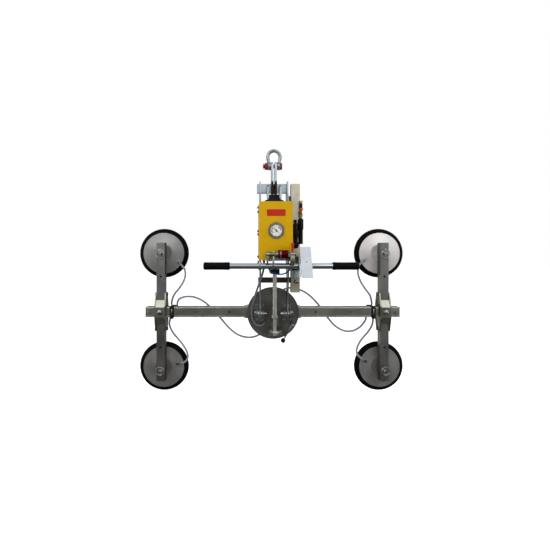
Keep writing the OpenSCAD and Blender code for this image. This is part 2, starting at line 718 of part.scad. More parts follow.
// Handlebar
module handlebar() color("silver") in_place() {
    wall = 2.5;
    strap_t = 8;
    tube_x = [handle_ends[0] + 8, handle_ends[1] - 8];
    lift = handle_d / 2 + 7;
    difference() {
        union() {
            along_x(handle_d, tube_x[0], tube_x[1], handle_y, handle_z);
            plate_x(-plate_out - arm_t, -plate_out) polygon([[plate_step, cover_foot - 3],
                [plate_step, handle_z - lift], [handle_y - lift, handle_z - lift],
                [handle_y - lift, handle_z + lift], [handle_y, cover_foot - 3]]);
            plate_x(arm_x, arm_x + arm_t) polygon([[tank_front, handle_z + 50], [tank_front, handle_z + 18],
                [bowl_y - 30, handle_z + 12], [handle_y + lift, handle_z - lift],
                [slant_y(handle_z - lift), handle_z - lift], [slant_y(handle_z + lift), handle_z + lift],
                [handle_y - 10, handle_z + 50]]);
            plate_x(-20, -20 + strap_t) polygon([[valve_y - 3, handle_z], [cover_y, handle_z],
                [cover_y, valve_z + 14], [valve_y - 3, valve_z + 14]]);
        }
        along_x(handle_d - 2 * wall, tube_x[0] - 1, tube_x[1] + 1, handle_y, handle_z);
        along_x(pipe_d + 2 * fit, -21, -11, valve_y, valve_z);
    }
}

module grips() color("#111214") in_place() {
    for (x = [handle_ends[0], handle_ends[1] - grip_len]) difference() {
        along_x(grip_d, x, x + grip_len, handle_y, handle_z);
        along_x(handle_d, x > 0 ? x - 1 : x + 8, x > 0 ? x + grip_len - 8 : x + grip_len + 1, handle_y, handle_z);
    }
}

arm_t = 8;                            // thickness of the handlebar's brackets
arm_x = tank_x + 18;                  // left face of the bracket on the tank
slant_top = [-262, 383];              // depth and height of the slanted plate's upper edge
slant_turn = 30;                      // its lean out of the vertical
function slant_y(z) = slant_top[0] - (slant_top[1] - z) * tan(slant_turn);

module slanted_plate() color("#cfd4d8") in_place() {
    sheet = 3;
    fold = 12;
    fold_end = 8;
    x0 = arm_x + arm_t;
    translate([x0, slant_top[0], slant_top[1]]) rotate([-slant_turn, 0, 0]) difference() {
        translate([0, -sheet, -slant_len]) union() {
            cube([slant_w, sheet, slant_len]);
            for (x = [0, slant_w - sheet]) translate([x, 0, fold_end]) cube([sheet, fold, slant_len - fold_end]);
        }
        translate([slant_w / 2, 1, -slant_len / 2]) rotate([90, 0, 0]) cylinder(d = 9, h = sheet * 2);
    }
}

module air_hoses() color("#1e4f9c") in_place() {
    hose(route_air_side, air_d, 8);
    hose(route_air_front, air_d, 8);
    hose(route_air_low, air_d, 8);
}

module guide_block() color("#202124") in_place() {
    top = rod_top - 10;
    foot = top - 25;
    swing = norm([rod_y - tilt_y, rod_z - tilt_z]);
    slot_y = [tilt_y - swing - rod_d / 2 - 1.5, rod_y + rod_d / 2 + 1.5];
    difference() {
        block([-26, 22], [slot_y[0] - 10, tilt_y], [foot, top]);
        block([-rod_d / 2 - 0.5, rod_d / 2 + 0.5], slot_y, [foot - 1, top + 1]);
    }
    block([-6, 16], [rail_front, tilt_y], [rail_top, foot]);
}

// Tilting disc
ring_gap = 0.2;
ring_r = 60;                          // the rings of the slewing bearing meet here
ring_in = 30;
ring_out = 95;
module disc() color("#3c3a34") in_place() {
    lip_y = disc_back + 5;
    ring_front = disc_back;
    union_end = last(route_supply);
    union_way = heading(route_supply, len(route_supply) - 1);
    union_tail = 14;
    post = union_end + (union_tail + hose_gap) * union_way;
    ring_back = sleeve_front - ring_gap;
    plate_y(disc_front, disc_back) circle(d = disc_d, $fn = 128);
    translate([0, disc_back, 0]) rotate([-90, 0, 0]) rotate_extrude() polygon([[ring_in, 0],
        [ring_r, 0], [ring_r, lip_y - ring_front], [ring_r + 6, lip_y - ring_front],
        [ring_r + 6, lip_y + 4 - ring_front], [ring_r, lip_y + 4 - ring_front],
        [ring_r, ring_back - ring_front], [ring_in, ring_back - ring_front]]);
    along_y(12, post[1] - 6, disc_front, post[0], post[2], 48);
    translate(post) rotate([0, atan2(-union_way[0], -union_way[2]), 0])
        cylinder(d = tail_d, h = union_tail, $fn = 32);
    along_y(8, disc_front - 12, disc_front, lock_x, lock_z, 32);
}

module outer_ring() color("#55524a") in_place() {
    depth = sleeve_front - disc_back;
    lip = [5 - ring_gap, 9 + ring_gap];
    translate([0, disc_back, 0]) rotate([-90, 0, 0]) rotate_extrude() polygon([[ring_r + fit, ring_gap],
        [ring_out, ring_gap], [ring_out, depth], [ring_r + fit, depth], [ring_r + fit, lip[1]],
        [ring_r + 6 + fit, lip[1]], [ring_r + 6 + fit, lip[0]], [ring_r + fit, lip[0]]]);
}

module ear(x0, x1, y, z, r) {
    plate_x(x0, x1) union() {
        translate([y, z]) circle(r = r);
        translate([y, z - r]) square([lug_face - y, 2 * r]);
    }
}

module tilt_brackets() color("#8d8a80") in_place() {
    base_h = lug_bolt_rise + 10;
    ear_r = 25;
    rod_ear_r = 18;
    difference() {
        union() both_sides() {
            block([lug_in - lug_t - 6, lug_out + lug_t + 6], [lug_face, disc_front],
                [tilt_z - base_h, tilt_z + base_h]);
            ear(lug_in - lug_t, lug_in, tilt_y, tilt_z, ear_r);
            ear(lug_out, lug_out + lug_t, tilt_y, tilt_z, ear_r);
        }
        both_sides() along_x(tilt_bolt_d + 2 * fit, 40, 120, tilt_y, tilt_z);
        both_sides() for (x = lug_bolt_x, z = [tilt_z - lug_bolt_rise, tilt_z + lug_bolt_rise])
            along_y(10 + 2 * fit, lug_face - 1, disc_front + 1, x, z, 32);
    }
    difference() {
        union() {
            block([rod_x[0] - 4, rod_x[1] + 4], [lug_face, disc_front], [rod_z - 48, -24]);
            for (x = [rod_x[0], rod_x[1] - lug_t]) ear(x, x + lug_t, rod_y, rod_z, rod_ear_r);
        }
        along_x(14 + 2 * fit, rod_x[0] - 1, rod_x[1] + 1, rod_y, rod_z);
    }
}

module tilt_bolts() color("silver") in_place() {
    nut = 13;
    both_sides() {
        along_x(tilt_bolt_d, lug_in - lug_t, lug_out + lug_t, tilt_y, tilt_z);
        along_x(across(24), lug_out + lug_t, lug_out + lug_t + nut, tilt_y, tilt_z, 6);
        along_x(30, lug_in - lug_t - 8, lug_in - lug_t, tilt_y, tilt_z);
        translate([lug_in - lug_t - 10, tilt_y, tilt_z]) rotate([0, 90, 0]) sphere(d = 24);
        for (x = lug_bolt_x, z = [tilt_z - lug_bolt_rise, tilt_z + lug_bolt_rise]) {
            along_y(10, lug_face, disc_front, x, z, 32);
            along_y(across(16), lug_face - 7, lug_face, x, z, 6);
        }
    }
    along_x(14, rod_x[0], rod_x[1], rod_y, rod_z);
    along_x(across(22), rod_x[1], rod_x[1] + 9, rod_y, rod_z, 6);
    along_x(across(22), rod_x[0] - 9, rod_x[0], rod_y, rod_z, 6);
}

module stay_rod() color("silver") in_place() {
    eye_r = 17;
    shank = 9;
    nut_z = [-6, 10];
    eye_top = nut_z[0];
    eye_x = [rod_x[0] + lug_t + 0.3, rod_x[1] - lug_t - 0.3];
    difference() {
        union() {
            along_z(rod_d, eye_top, rod_top, 0, rod_y);
            along_z(across(28), nut_z[0], nut_z[1], 0, rod_y, 6);
            plate_x(-shank, shank) union() {
                translate([rod_y, rod_z]) circle(r = eye_r);
                translate([rod_y - shank, rod_z]) square([2 * shank, eye_top - rod_z]);
            }
            along_x(22, eye_x[0], eye_x[1], rod_y, rod_z);
        }
        along_x(14 + 2 * fit, eye_x[0] - 1, eye_x[1] + 1, rod_y, rod_z);
    }
}

lock_x = 115;
lock_z = -60;
module lock_lever() color("silver") in_place() {
    knob_d = 32;
    ball = [58, -159];
    lever = [ball[0] - lock_x, ball[1] - lock_z];
    lever_y = disc_front - 14;
    difference() {
        union() {
            along_y(knob_d, disc_front - 24, lug_face - 0.5, lock_x, lock_z);
            along_y(18, lug_face - 0.5, disc_front - 0.3, lock_x, lock_z);
            translate([lock_x, lever_y, lock_z]) rotate([0, atan2(lever[0], lever[1]), 0]) {
                cylinder(d = 9, h = norm(lever));
                translate([0, 0, norm(lever)]) sphere(d = 27);
            }
        }
        along_y(8 + 2 * fit, disc_front - 13, disc_front, lock_x, lock_z, 48);
    }
}

// Cross frame
module centre_sleeve() color("#5a584f") in_place() {
    bolt_x = sleeve_half - 25;
    difference() {
        block([-sleeve_half, sleeve_half], [sleeve_front, sleeve_front + sleeve_out],
            [-sleeve_out / 2, sleeve_out / 2]);
        block([-sleeve_half - 1, sleeve_half + 1], [sleeve_front + sleeve_wall, sleeve_front + sleeve_out - sleeve_wall],
            [-sleeve_in / 2, sleeve_in / 2]);
    }
    both_sides() along_z(across(16), sleeve_out / 2, sleeve_out / 2 + 8, bolt_x, beam_h, 6);
}

module beam() color("#5a584f") in_place() difference() {
    wall = tube_wall;
    half = beam_len / 2;
    block([-half, half], [0, beam_w], [-beam_h, beam_h]);
    block([-half - 1, half + 1], [wall, beam_w - wall], [-beam_h + wall, beam_h - wall]);
    both_sides() for (n = [0:2])
        along_y(index_d, -1, wall + 1, column_x - n * index_pitch, 0, 48);
}

module end_stops() color("silver") in_place() both_sides() {
    half = beam_len / 2;
    wall = tube_wall;
    block([half, half + 4], [0, beam_w], [-beam_h, beam_h]);
    along_y(12, -14, 0, stop_x, 0, 32);
    along_y(across(stop_head), -22, -14, stop_x, 0, 6);
}

module hose_distributor() color("#8a8a86") in_place() {
    back = sleeve_front + sleeve_out;
    block([-32, 32], [back, union_y + 10], [-20, 20]);
    for (side = [-1, 1]) along_z(tail_d, side > 0 ? 20 : -38, side > 0 ? 38 : -20, union_x * side, union_y, 32);
}

module main_hose_left() color("#7d848c") in_place() hose(route_left, hose_d);
module main_hose_right() color("#7d848c") in_place() hose(route_right, hose_d);
module supply_hose() color("#7d848c") in_place() hose(route_supply, hose_d);

// A clamp, drawn on the right: two cheeks with a window for the beam, joined in front and behind.
module clamp() {
    window = beam_w + 2 * slide_gap;
    window_y = beam_h - window / 2;
    shoulder = beam_h + 6;
    slope = [[shoulder - 6, clamp_front], [72, arm_y]];
    difference() {
        union() {
            for (x = [column_x - clamp_out, column_x + clamp_out - clamp_t])
                plate_x(x, x + clamp_t) polygon([[clamp_front, -shoulder], [arm_y, -clamp_reach],
                    [arm_back, -clamp_reach], [clamp_back, -shoulder], [clamp_back, shoulder],
                    [arm_back, clamp_reach], [arm_y, clamp_reach], [clamp_front, shoulder]]);
            block([column_x - clamp_out, column_x + clamp_out], [clamp_front, clamp_front + clamp_t],
                [-shoulder + 6, shoulder - 6]);
            block([column_x - clamp_out, column_x + clamp_out], [clamp_back - clamp_t, clamp_back],
                [-shoulder + 6, shoulder - 6]);
            for (m = [0, 1]) mirror([0, 0, m]) plate_x(column_x - clamp_out, column_x + clamp_out)
                polygon([[slope[0][1], slope[0][0]], [slope[1][1] - 6, slope[1][0]],
                    [slope[1][1], slope[1][0]], [slope[0][1] + clamp_t, slope[0][0]]]);
        }
        block([column_x - clamp_out - 1, column_x + clamp_out + 1], [window_y, window_y + window],
            [-window / 2, window / 2]);
        for (z = [-clamp_bolt_z, clamp_bolt_z])
            along_x(clamp_bolt_d + 2 * fit, column_x - 60, column_x + 60, beam_h, z, 32);
        along_y(16 + 2 * fit, clamp_front - 1, clamp_front + clamp_t + 1, column_x, 0, 48);
    }
    for (z = [-clamp_bolt_z, clamp_bolt_z]) {
        along_x(clamp_bolt_d, column_x - clamp_out, column_x + clamp_out, beam_h, z, 32);
        for (x = [column_x - clamp_out - 7, column_x + clamp_out])
            along_x(across(17), x, x + 7, beam_h, z, 6);
    }
    along_y(16, clamp_front, window_y, column_x, 0, 48);
    along_y(across(26), clamp_front - 10, clamp_front, column_x, 0, 6);
}
module clamp_left() color("#9a9a94") in_place() mirror([1, 0, 0]) clamp();
module clamp_right() color("#9a9a94") in_place() clamp();

// The two arms of one side, drawn on the right.
module arms() for (m = [0, 1]) mirror([0, 0, m]) difference() {
    x = [column_x - arm_w / 2, column_x + arm_w / 2];
    block(x, [arm_y, arm_back], [arm_foot, arm_end]);
    block([x[0] + tube_wall, x[1] - tube_wall], [arm_y + tube_wall, arm_back - tube_wall],
        [arm_foot - 1, arm_end - tube_wall]);
    along_y(stem_d + 2 * fit, arm_y - 1, arm_back + 1, column_x, pad_z);
    along_y(index_d, arm_y - 1, arm_back + 1, column_x, arm_hole_z, 48);
    along_x(clamp_bolt_d + 2 * fit, column_x - 60, column_x + 60, beam_h, clamp_bolt_z, 32);
}
module arms_left() color("#4c4d4a") in_place() mirror([1, 0, 0]) arms();
module arms_right() color("#4c4d4a") in_place() arms();

// A strap round the beam that holds the side's hose distributor, drawn on the right.
module strap() {
    wide = 25;
    thick = 2;
    gap = slide_gap;
    back = union_y + 10;
    unit_x = [strap_x - 21.5, strap_x + 32];
    difference() {
        block([strap_x - wide / 2, strap_x + wide / 2], [-gap - thick, back + gap + thick],
            [-beam_h - gap - thick, beam_h + gap + thick]);
        block([strap_x - wide, strap_x + wide], [-gap, back + gap], [-beam_h - gap, beam_h + gap]);
    }
    block(unit_x, [beam_w + gap, back], [-18, 18]);
    along_z(tail_d, 18, 34, strap_x + 18, union_y, 32);
    along_z(tail_d, -34, -18, strap_x + 26, union_y, 32);
}
module strap_left() color("#1a1a1c") in_place() mirror([1, 0, 0]) {
    strap();
    along_z(tail_d, 18, 34, strap_x - main_tail, union_y, 32);
}
module strap_right() color("#1a1a1c") in_place() {
    strap();
    along_z(tail_d, -34, -18, strap_x - main_tail, union_y, 32);
}

// Pad stems with collars and linch pins, drawn on the right.
module pad_stems() for (m = [0, 1]) mirror([0, 0, m]) {
    pin_depth = arm_y - 12;
    ring_mid = 24;
    wire = 4.5;
    eye_w = 20;
    difference() {
        union() {
            along_y(stem_d, arm_y - 22, stem_y, column_x, pad_z);
            along_x(stem_d - 2, column_x - eye_w / 2, column_x + eye_w / 2, stem_y, pad_z);
            along_y(34, arm_back + 0.3, arm_back + 8, column_x, pad_z);
            along_y(32, arm_y - 5, arm_y - 0.3, column_x, pad_z);
        }
        along_x(pivot_d + 2 * fit, column_x - 30, column_x + 30, stem_y, pad_z, 48);
        along_z(8 + 2 * fit, pad_z - 30, pad_z + 30, column_x, pin_depth, 32);
        for (side = [-1, 1]) translate([column_x + side * (eye_w / 2 + 10), stem_y, pad_z])
            cube([20, stem_d, stem_d * 2], center = true);
    }
    along_z(8, pad_z - 20, pad_z + 20, column_x, pin_depth, 32);
    along_z(13, pad_z + 20, pad_z + 27, column_x, pin_depth, 32);
    translate([column_x, pin_depth - 7, pad_z + 20 - ring_mid]) rotate([90, 0, 0]) rotate_extrude()
        translate([ring_mid, 0]) circle(d = wire, $fn = 24);
    along_y(5, pin_depth - 7, pin_depth, column_x, pad_z + 20, 24);
}
module pad_stems_left() color("silver") in_place() mirror([1, 0, 0]) pad_stems();
module pad_stems_right() color("silver") in_place() pad_stems();

module pad_hoses_left() color("#7d848c") in_place() {
    hose(route_ul, hose_d);
    hose(route_bl, hose_d);
}
module pad_hoses_right() color("#7d848c") in_place() {
    hose(route_ur, hose_d);
    hose(route_br, hose_d);
}

// A pad's back plate with pivot ears, pin and hose elbow. The elbow's tail ends where its hose begins.
module pad_plate(x, z, elbow, hose_end) {
    ear_gap = 20.6;
    ear_w = 8;
    ex = x + elbow[0];
    ez = z + elbow[1];
    tail = hose_end - [ex, stem_y, ez];
    plate_y(back_y, back_y + back_t) translate([x, z]) circle(d = back_d, $fn = 128);
    for (side = [-1, 1]) translate([x, 0, 0]) plate_x(side > 0 ? ear_gap / 2 : -ear_gap / 2 - ear_w,
        side > 0 ? ear_gap / 2 + ear_w : -ear_gap / 2) union() {
            translate([stem_y, z]) circle(d = 22);
            translate([stem_y, z - 11]) square([back_y - stem_y, 22]);
        }
    along_x(pivot_d, x - ear_gap / 2 - ear_w, x + ear_gap / 2 + ear_w, stem_y, z, 48);
    along_y(18, stem_y - 9, back_y, ex, ez, 48);
    translate([ex, stem_y, ez]) rotate([0, atan2(tail[0], tail[2]), 0]) 
        cylinder(d = tail_d, h = norm(tail) - 2 * hose_gap, $fn = 32);
}
function last(p) = p[len(p) - 1];
module pad_plate_ul() color("#959390") in_place() pad_plate(-column_x, pad_z, elbow_ul, last(route_ul));
module pad_plate_bl() color("#6d6a68") in_place() pad_plate(-column_x, -pad_z, elbow_bl, last(route_bl));
module pad_plate_ur() color("#d6d2cf") in_place() pad_plate(column_x, pad_z, elbow_ur, last(route_ur));
module pad_plate_br() color("#6d6a68") in_place() pad_plate(column_x, -pad_z, elbow_br, last(route_br));

// A pad's rubber seal: a disc on the back plate with a lip round its rim.
module pad_seal(x, z) {
    lip_w = 24;
    web = seal_t - 4;
    r = seal_d / 2;
    translate([x, seal_y, z]) rotate([-90, 0, 0]) rotate_extrude($fn = 128) polygon([[0, 0], [r - 22, 0],
        [r - 8, 4], [r, web], [r, seal_t], [r - lip_w, seal_t], [r - lip_w - 4, web], [0, web]]);
}
module pad_seal_ul() color("#151515") in_place() pad_seal(-column_x, pad_z);
module pad_seal_bl() color("#151515") in_place() pad_seal(-column_x, -pad_z);
module pad_seal_ur() color("#151515") in_place() pad_seal(column_x, pad_z);
module pad_seal_br() color("#151515") in_place() pad_seal(column_x, -pad_z);

shackle_bow();
shackle_pin();
lift_bars();
piston();
side_plates();
cross_tube();
boot();
pump_cylinder();
cover();
label_plate();
cover_bolts();
gauge();
gauge_needle();
vacuum_tank();
tank_brackets();
manifold();
release_button();
vacuum_filters();
filter_bowl();
drain_knob();
valve_row();
slide_sleeve();
hand_lever();
handlebar();
grips();
slanted_plate();
air_hoses();
guide_block();
disc();
tilt_brackets();
tilt_bolts();
stay_rod();
lock_lever();
outer_ring();
centre_sleeve();
beam();
end_stops();
hose_distributor();
main_hose_left();
main_hose_right();
supply_hose();
clamp_left();
clamp_right();
arms_left();
arms_right();
strap_left();
strap_right();
pad_stems_left();
pad_stems_right();
pad_hoses_left();
pad_hoses_right();
pad_plate_ul();
pad_plate_bl();
pad_plate_ur();
pad_plate_br();
pad_seal_ul();
pad_seal_bl();
pad_seal_ur();
pad_seal_br();
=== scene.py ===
"""Looks of a vacuum glass panel lifter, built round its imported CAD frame."""
import math

import bmesh
import bpy
from mathutils import Matrix, Vector


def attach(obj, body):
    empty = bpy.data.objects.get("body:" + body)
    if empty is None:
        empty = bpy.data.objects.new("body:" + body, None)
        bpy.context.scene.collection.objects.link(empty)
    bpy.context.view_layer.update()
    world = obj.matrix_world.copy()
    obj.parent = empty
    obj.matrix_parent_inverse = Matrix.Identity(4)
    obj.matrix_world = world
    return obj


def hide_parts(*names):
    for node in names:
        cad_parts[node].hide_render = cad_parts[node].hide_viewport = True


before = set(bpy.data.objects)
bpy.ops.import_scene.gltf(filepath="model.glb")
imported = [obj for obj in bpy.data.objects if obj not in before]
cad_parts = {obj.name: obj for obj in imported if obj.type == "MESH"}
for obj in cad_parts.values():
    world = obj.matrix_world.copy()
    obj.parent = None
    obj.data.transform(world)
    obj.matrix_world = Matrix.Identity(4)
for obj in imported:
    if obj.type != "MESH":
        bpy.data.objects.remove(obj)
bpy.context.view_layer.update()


# Studio -----------------------------------------------------------
# A pale floor under the hanging lifter and a white room, with four large soft lamps. Overhead the room is weaker,
# so that pale tops keep their tone. The floor in front and the low wall behind the camera are dim, which bright
# metal shows as dark bands. The camera stands where the photograph was taken from.
WHITE = (1, 1, 1, 1)
FLOOR_HEIGHT = -1.95
AIM = Vector((0, 0, -0.6))                          # the lamps' target, by the lifter's middle
PHOTO_SIDE = 550                                    # pixels, for the camera's shift


def linear(code):
    """An sRGB hex colour as linear values."""
    parts = [int(code[i:i + 2], 16) / 255 for i in (1, 3, 5)]
    return [c / 12.92 if c <= 0.04045 else ((c + 0.055) / 1.055) ** 2.4 for c in parts] + [1.0]


def emptied(owner):
    """A new material or world with no nodes yet."""
    owner.use_nodes = True
    owner.node_tree.nodes.clear()
    return owner


def shade(owner, kind, sockets=(), **settings):
    """Adds one shader node with its settings. Each socket, by name or in order, takes a value or an output, which
    is the other node's first one where only that node is given."""
    made = owner.node_tree.nodes.new("ShaderNode" + kind)
    for name, value in settings.items():
        setattr(made, name, value)
    for name, value in sockets.items() if isinstance(sockets, dict) else enumerate(sockets):
        if isinstance(value, bpy.types.Node):
            value = value.outputs[0]
        if isinstance(value, bpy.types.NodeSocket):
            owner.node_tree.links.new(value, made.inputs[name])
        else:
            made.inputs[name].default_value = value
    return made


def placed(name, data):
    """A new object in the scene."""
    made = bpy.data.objects.new(name, data)
    bpy.context.scene.collection.objects.link(made)
    return made


# Matt white paper. It glows for the camera, and is dim where metal mirrors the floor in front of the lifter.
paper = emptied(bpy.data.materials.new("floor_paper"))
path = shade(paper, "LightPath")
part = shade(paper, "SeparateXYZ", [shade(paper, "NewGeometry").outputs["Position"]])
front = shade(paper, "MapRange", [part.outputs["Y"], 1.0, 0.3])
aside = shade(paper, "Math", [part.outputs["X"]], operation="ABSOLUTE")
middle = shade(paper, "MapRange", [aside, 9.0, 3.0])
dark = shade(paper, "Math", [front, middle], operation="MULTIPLY")
hidden = shade(paper, "Math", [path.outputs["Is Glossy Ray"], dark], operation="MULTIPLY")
looked = shade(paper, "Math", [path.outputs["Is Camera Ray"], path.outputs["Is Transmission Ray"]],
               operation="MAXIMUM")
mirrored = shade(paper, "Math", [path.outputs["Is Glossy Ray"], 0.4], operation="MULTIPLY")
looked = shade(paper, "Math", [looked, mirrored], operation="MAXIMUM")
bright = shade(paper, "Math", [looked, 0.75], operation="MULTIPLY")
glow = shade(paper, "Emission", [WHITE, bright])
sheet = shade(paper, "BsdfDiffuse", [linear("#f4f4f2")])
lit = shade(paper, "AddShader", [sheet, glow])
dim = shade(paper, "Emission", [WHITE, 0.08])
both = shade(paper, "MixShader", [hidden, lit, dim])
shade(paper, "OutputMaterial", [both])

bm = bmesh.new()
bmesh.ops.create_grid(bm, x_segments=1, y_segments=1, size=30)
bmesh.ops.translate(bm, verts=bm.verts, vec=(0, 0, FLOOR_HEIGHT))
mesh = bpy.data.meshes.new("floor")
bm.to_mesh(mesh)
bm.free()
mesh.materials.append(paper)
placed("floor", mesh)

room = emptied(bpy.data.worlds.new("room"))
bpy.context.scene.world = room
path = shade(room, "LightPath")
part = shade(room, "SeparateXYZ", [shade(room, "TexCoord").outputs["Generated"]])
height = shade(room, "MapRange", [part.outputs["Z"], -0.06, 0.2, 0.12, 1.09])
aside = shade(room, "Math", [part.outputs["X"]], operation="ABSOLUTE")
sides = shade(room, "MapRange", [aside, 0.5, 0.9, 0.0, 0.45])
level = shade(room, "Math", [height, sides], operation="MAXIMUM")
overhead = shade(room, "MapRange", [part.outputs["Z"], 0.45, 0.95, 1.0, 0.35])
level = shade(room, "Math", [level, overhead], operation="MULTIPLY")
walls = shade(room, "Background", [linear("#eceff3"), level])
white = shade(room, "Background", [WHITE, 1.0])
behind = shade(room, "MapRange", [part.outputs["Y"], 0.7, 0.95])
mirrored = shade(room, "Math", [path.outputs["Is Glossy Ray"], behind], operation="MULTIPLY")
looked = shade(room, "Math", [path.outputs["Is Camera Ray"], path.outputs["Is Transmission Ray"]],
               operation="MAXIMUM")
seen = shade(room, "Math", [looked, mirrored], operation="MAXIMUM")
mixed = shade(room, "MixShader", [seen, walls, white])
shade(room, "OutputWorld", [mixed])

for name, place, size, watts in (
        ("top_lamp", (-0.1, -0.5, 2.3), 3.8, 9), ("left_lamp", (-1.9, -2.6, 1.5), 2.6, 34),
        ("right_lamp", (2.0, -2.5, 1.6), 2.6, 30), ("back_lamp", (0.6, 2.4, 1.4), 2.6, 14)):
    light = bpy.data.lights.new(name, "AREA")
    light.shape, light.size, light.energy = "DISK", size, watts
    lamp = placed(name, light)
    lamp.location = place
    lamp.rotation_euler = (AIM - Vector(place)).to_track_quat("-Z", "Y").to_euler()

lens = bpy.data.cameras.new("camera")
lens.lens, lens.sensor_width = 24.12, 36            # millimetres
lens.shift_x, lens.shift_y = 28 / PHOTO_SIDE, -21 / PHOTO_SIDE
camera = placed("camera", lens)
camera.location = (-0.153, -2.095, -0.576)
camera.rotation_euler = (math.radians(90), 0, 0)
bpy.context.scene.camera = camera
bpy.context.scene.view_settings.view_transform = "Standard"


# Shackle ----------------------------------------------------------
# A 19 mm bow shackle, forged from round bar and hot-dip galvanised, so dull silver and slightly mottled.
# Its pin and nut are painted dark red. The crane's hook takes the top of the bow.
DRAWN = Matrix.Translation((0, 0.105, -0.923)) @ Matrix.Scale(0.001, 4)  # from the drawing's millimetres
RIGHT, BACK, UP, FRONT = (1, 0, 0), (0, 1, 0), (0, 0, 1), (0, -1, 0)
HEXAGON = 1.732                                     # width across flats over the radius of the corners
PIN_Y, PIN_Z = -105, 845


def added(bm, before):
    """The vertices made since this set of them was taken."""
    return [vert for vert in bm.verts if vert not in before]


def paint(verts, index):
    """Gives the faces round these vertices one of the piece's materials."""
    for vert in verts:
        for face in vert.link_faces:
            face.material_index = index


def upright_to(way):
    """The turn that lays the upright axis along a way."""
    return Vector(UP).rotation_difference(way).to_matrix().to_4x4()


def turned(bm, profile, at, along, steps=40, mat=0, closed=False):
    """Spins a profile of (radius, distance) round an axis that starts at a point."""
    before = set(bm.verts)
    dots = [bm.verts.new((r, 0, h)) for r, h in profile]
    lines = [bm.edges.new(pair) for pair in zip(dots, dots[1:] + dots[:1] if closed else dots[1:])]
    bmesh.ops.spin(bm, geom=dots + lines, cent=(0, 0, 0), axis=UP, angle=math.tau, steps=steps, use_merge=True)
    bmesh.ops.remove_doubles(bm, verts=added(bm, before), dist=0.001)
    made = added(bm, before)
    bmesh.ops.transform(bm, matrix=Matrix.Translation(at) @ upright_to(Vector(along).normalized()), verts=made)
    paint(made, mat)


def rod(bm, start, end, d, mat=0, edge=0.6, steps=32):
    """A round bar between two points, with its end edges broken."""
    start, end = Vector(start), Vector(end)
    long, r = (end - start).length, d / 2
    turned(bm, [(0, 0), (r - edge, 0), (r, edge), (r, long - edge), (r - edge, long), (0, long)],
           start, end - start, steps, mat)


def hexagon(bm, start, end, flats, mat=0):
    """A hexagon nut or bolt head between two points, with its corners turned down."""
    start, end = Vector(start), Vector(end)
    long, r = (end - start).length, flats / HEXAGON
    turned(bm, [(0, 0), (r * 0.9, 0), (r, r * 0.06), (r, long - r * 0.06), (r * 0.9, long), (0, long)],
           start, end - start, 6, mat)


def swept(bm, path, d, steps):
    """A round bar along a path: a ring is extruded from point to point and turned with the path."""
    path = [Vector(p) for p in path]
    way = (path[1] - path[0]).normalized()
    ring = bmesh.ops.create_circle(bm, cap_ends=True, segments=steps, radius=d / 2)["verts"]
    edges = list({e for v in ring for e in v.link_edges})
    bmesh.ops.transform(bm, matrix=Matrix.Translation(path[0]) @ upright_to(way), verts=ring)
    for i in range(1, len(path)):
        ahead = (path[min(i + 1, len(path) - 1)] - path[i - 1]).normalized()
        step = Matrix.Translation(path[i]) @ way.rotation_difference(ahead).to_matrix().to_4x4()
        grown = bmesh.ops.extrude_edge_only(bm, edges=edges)["geom"]
        ring = [g for g in grown if isinstance(g, bmesh.types.BMVert)]
        edges = [g for g in grown if isinstance(g, bmesh.types.BMEdge)]
        bmesh.ops.transform(bm, matrix=step @ Matrix.Translation(-path[i - 1]), verts=ring)
        way = ahead
    bmesh.ops.edgeloop_fill(bm, edges=edges)


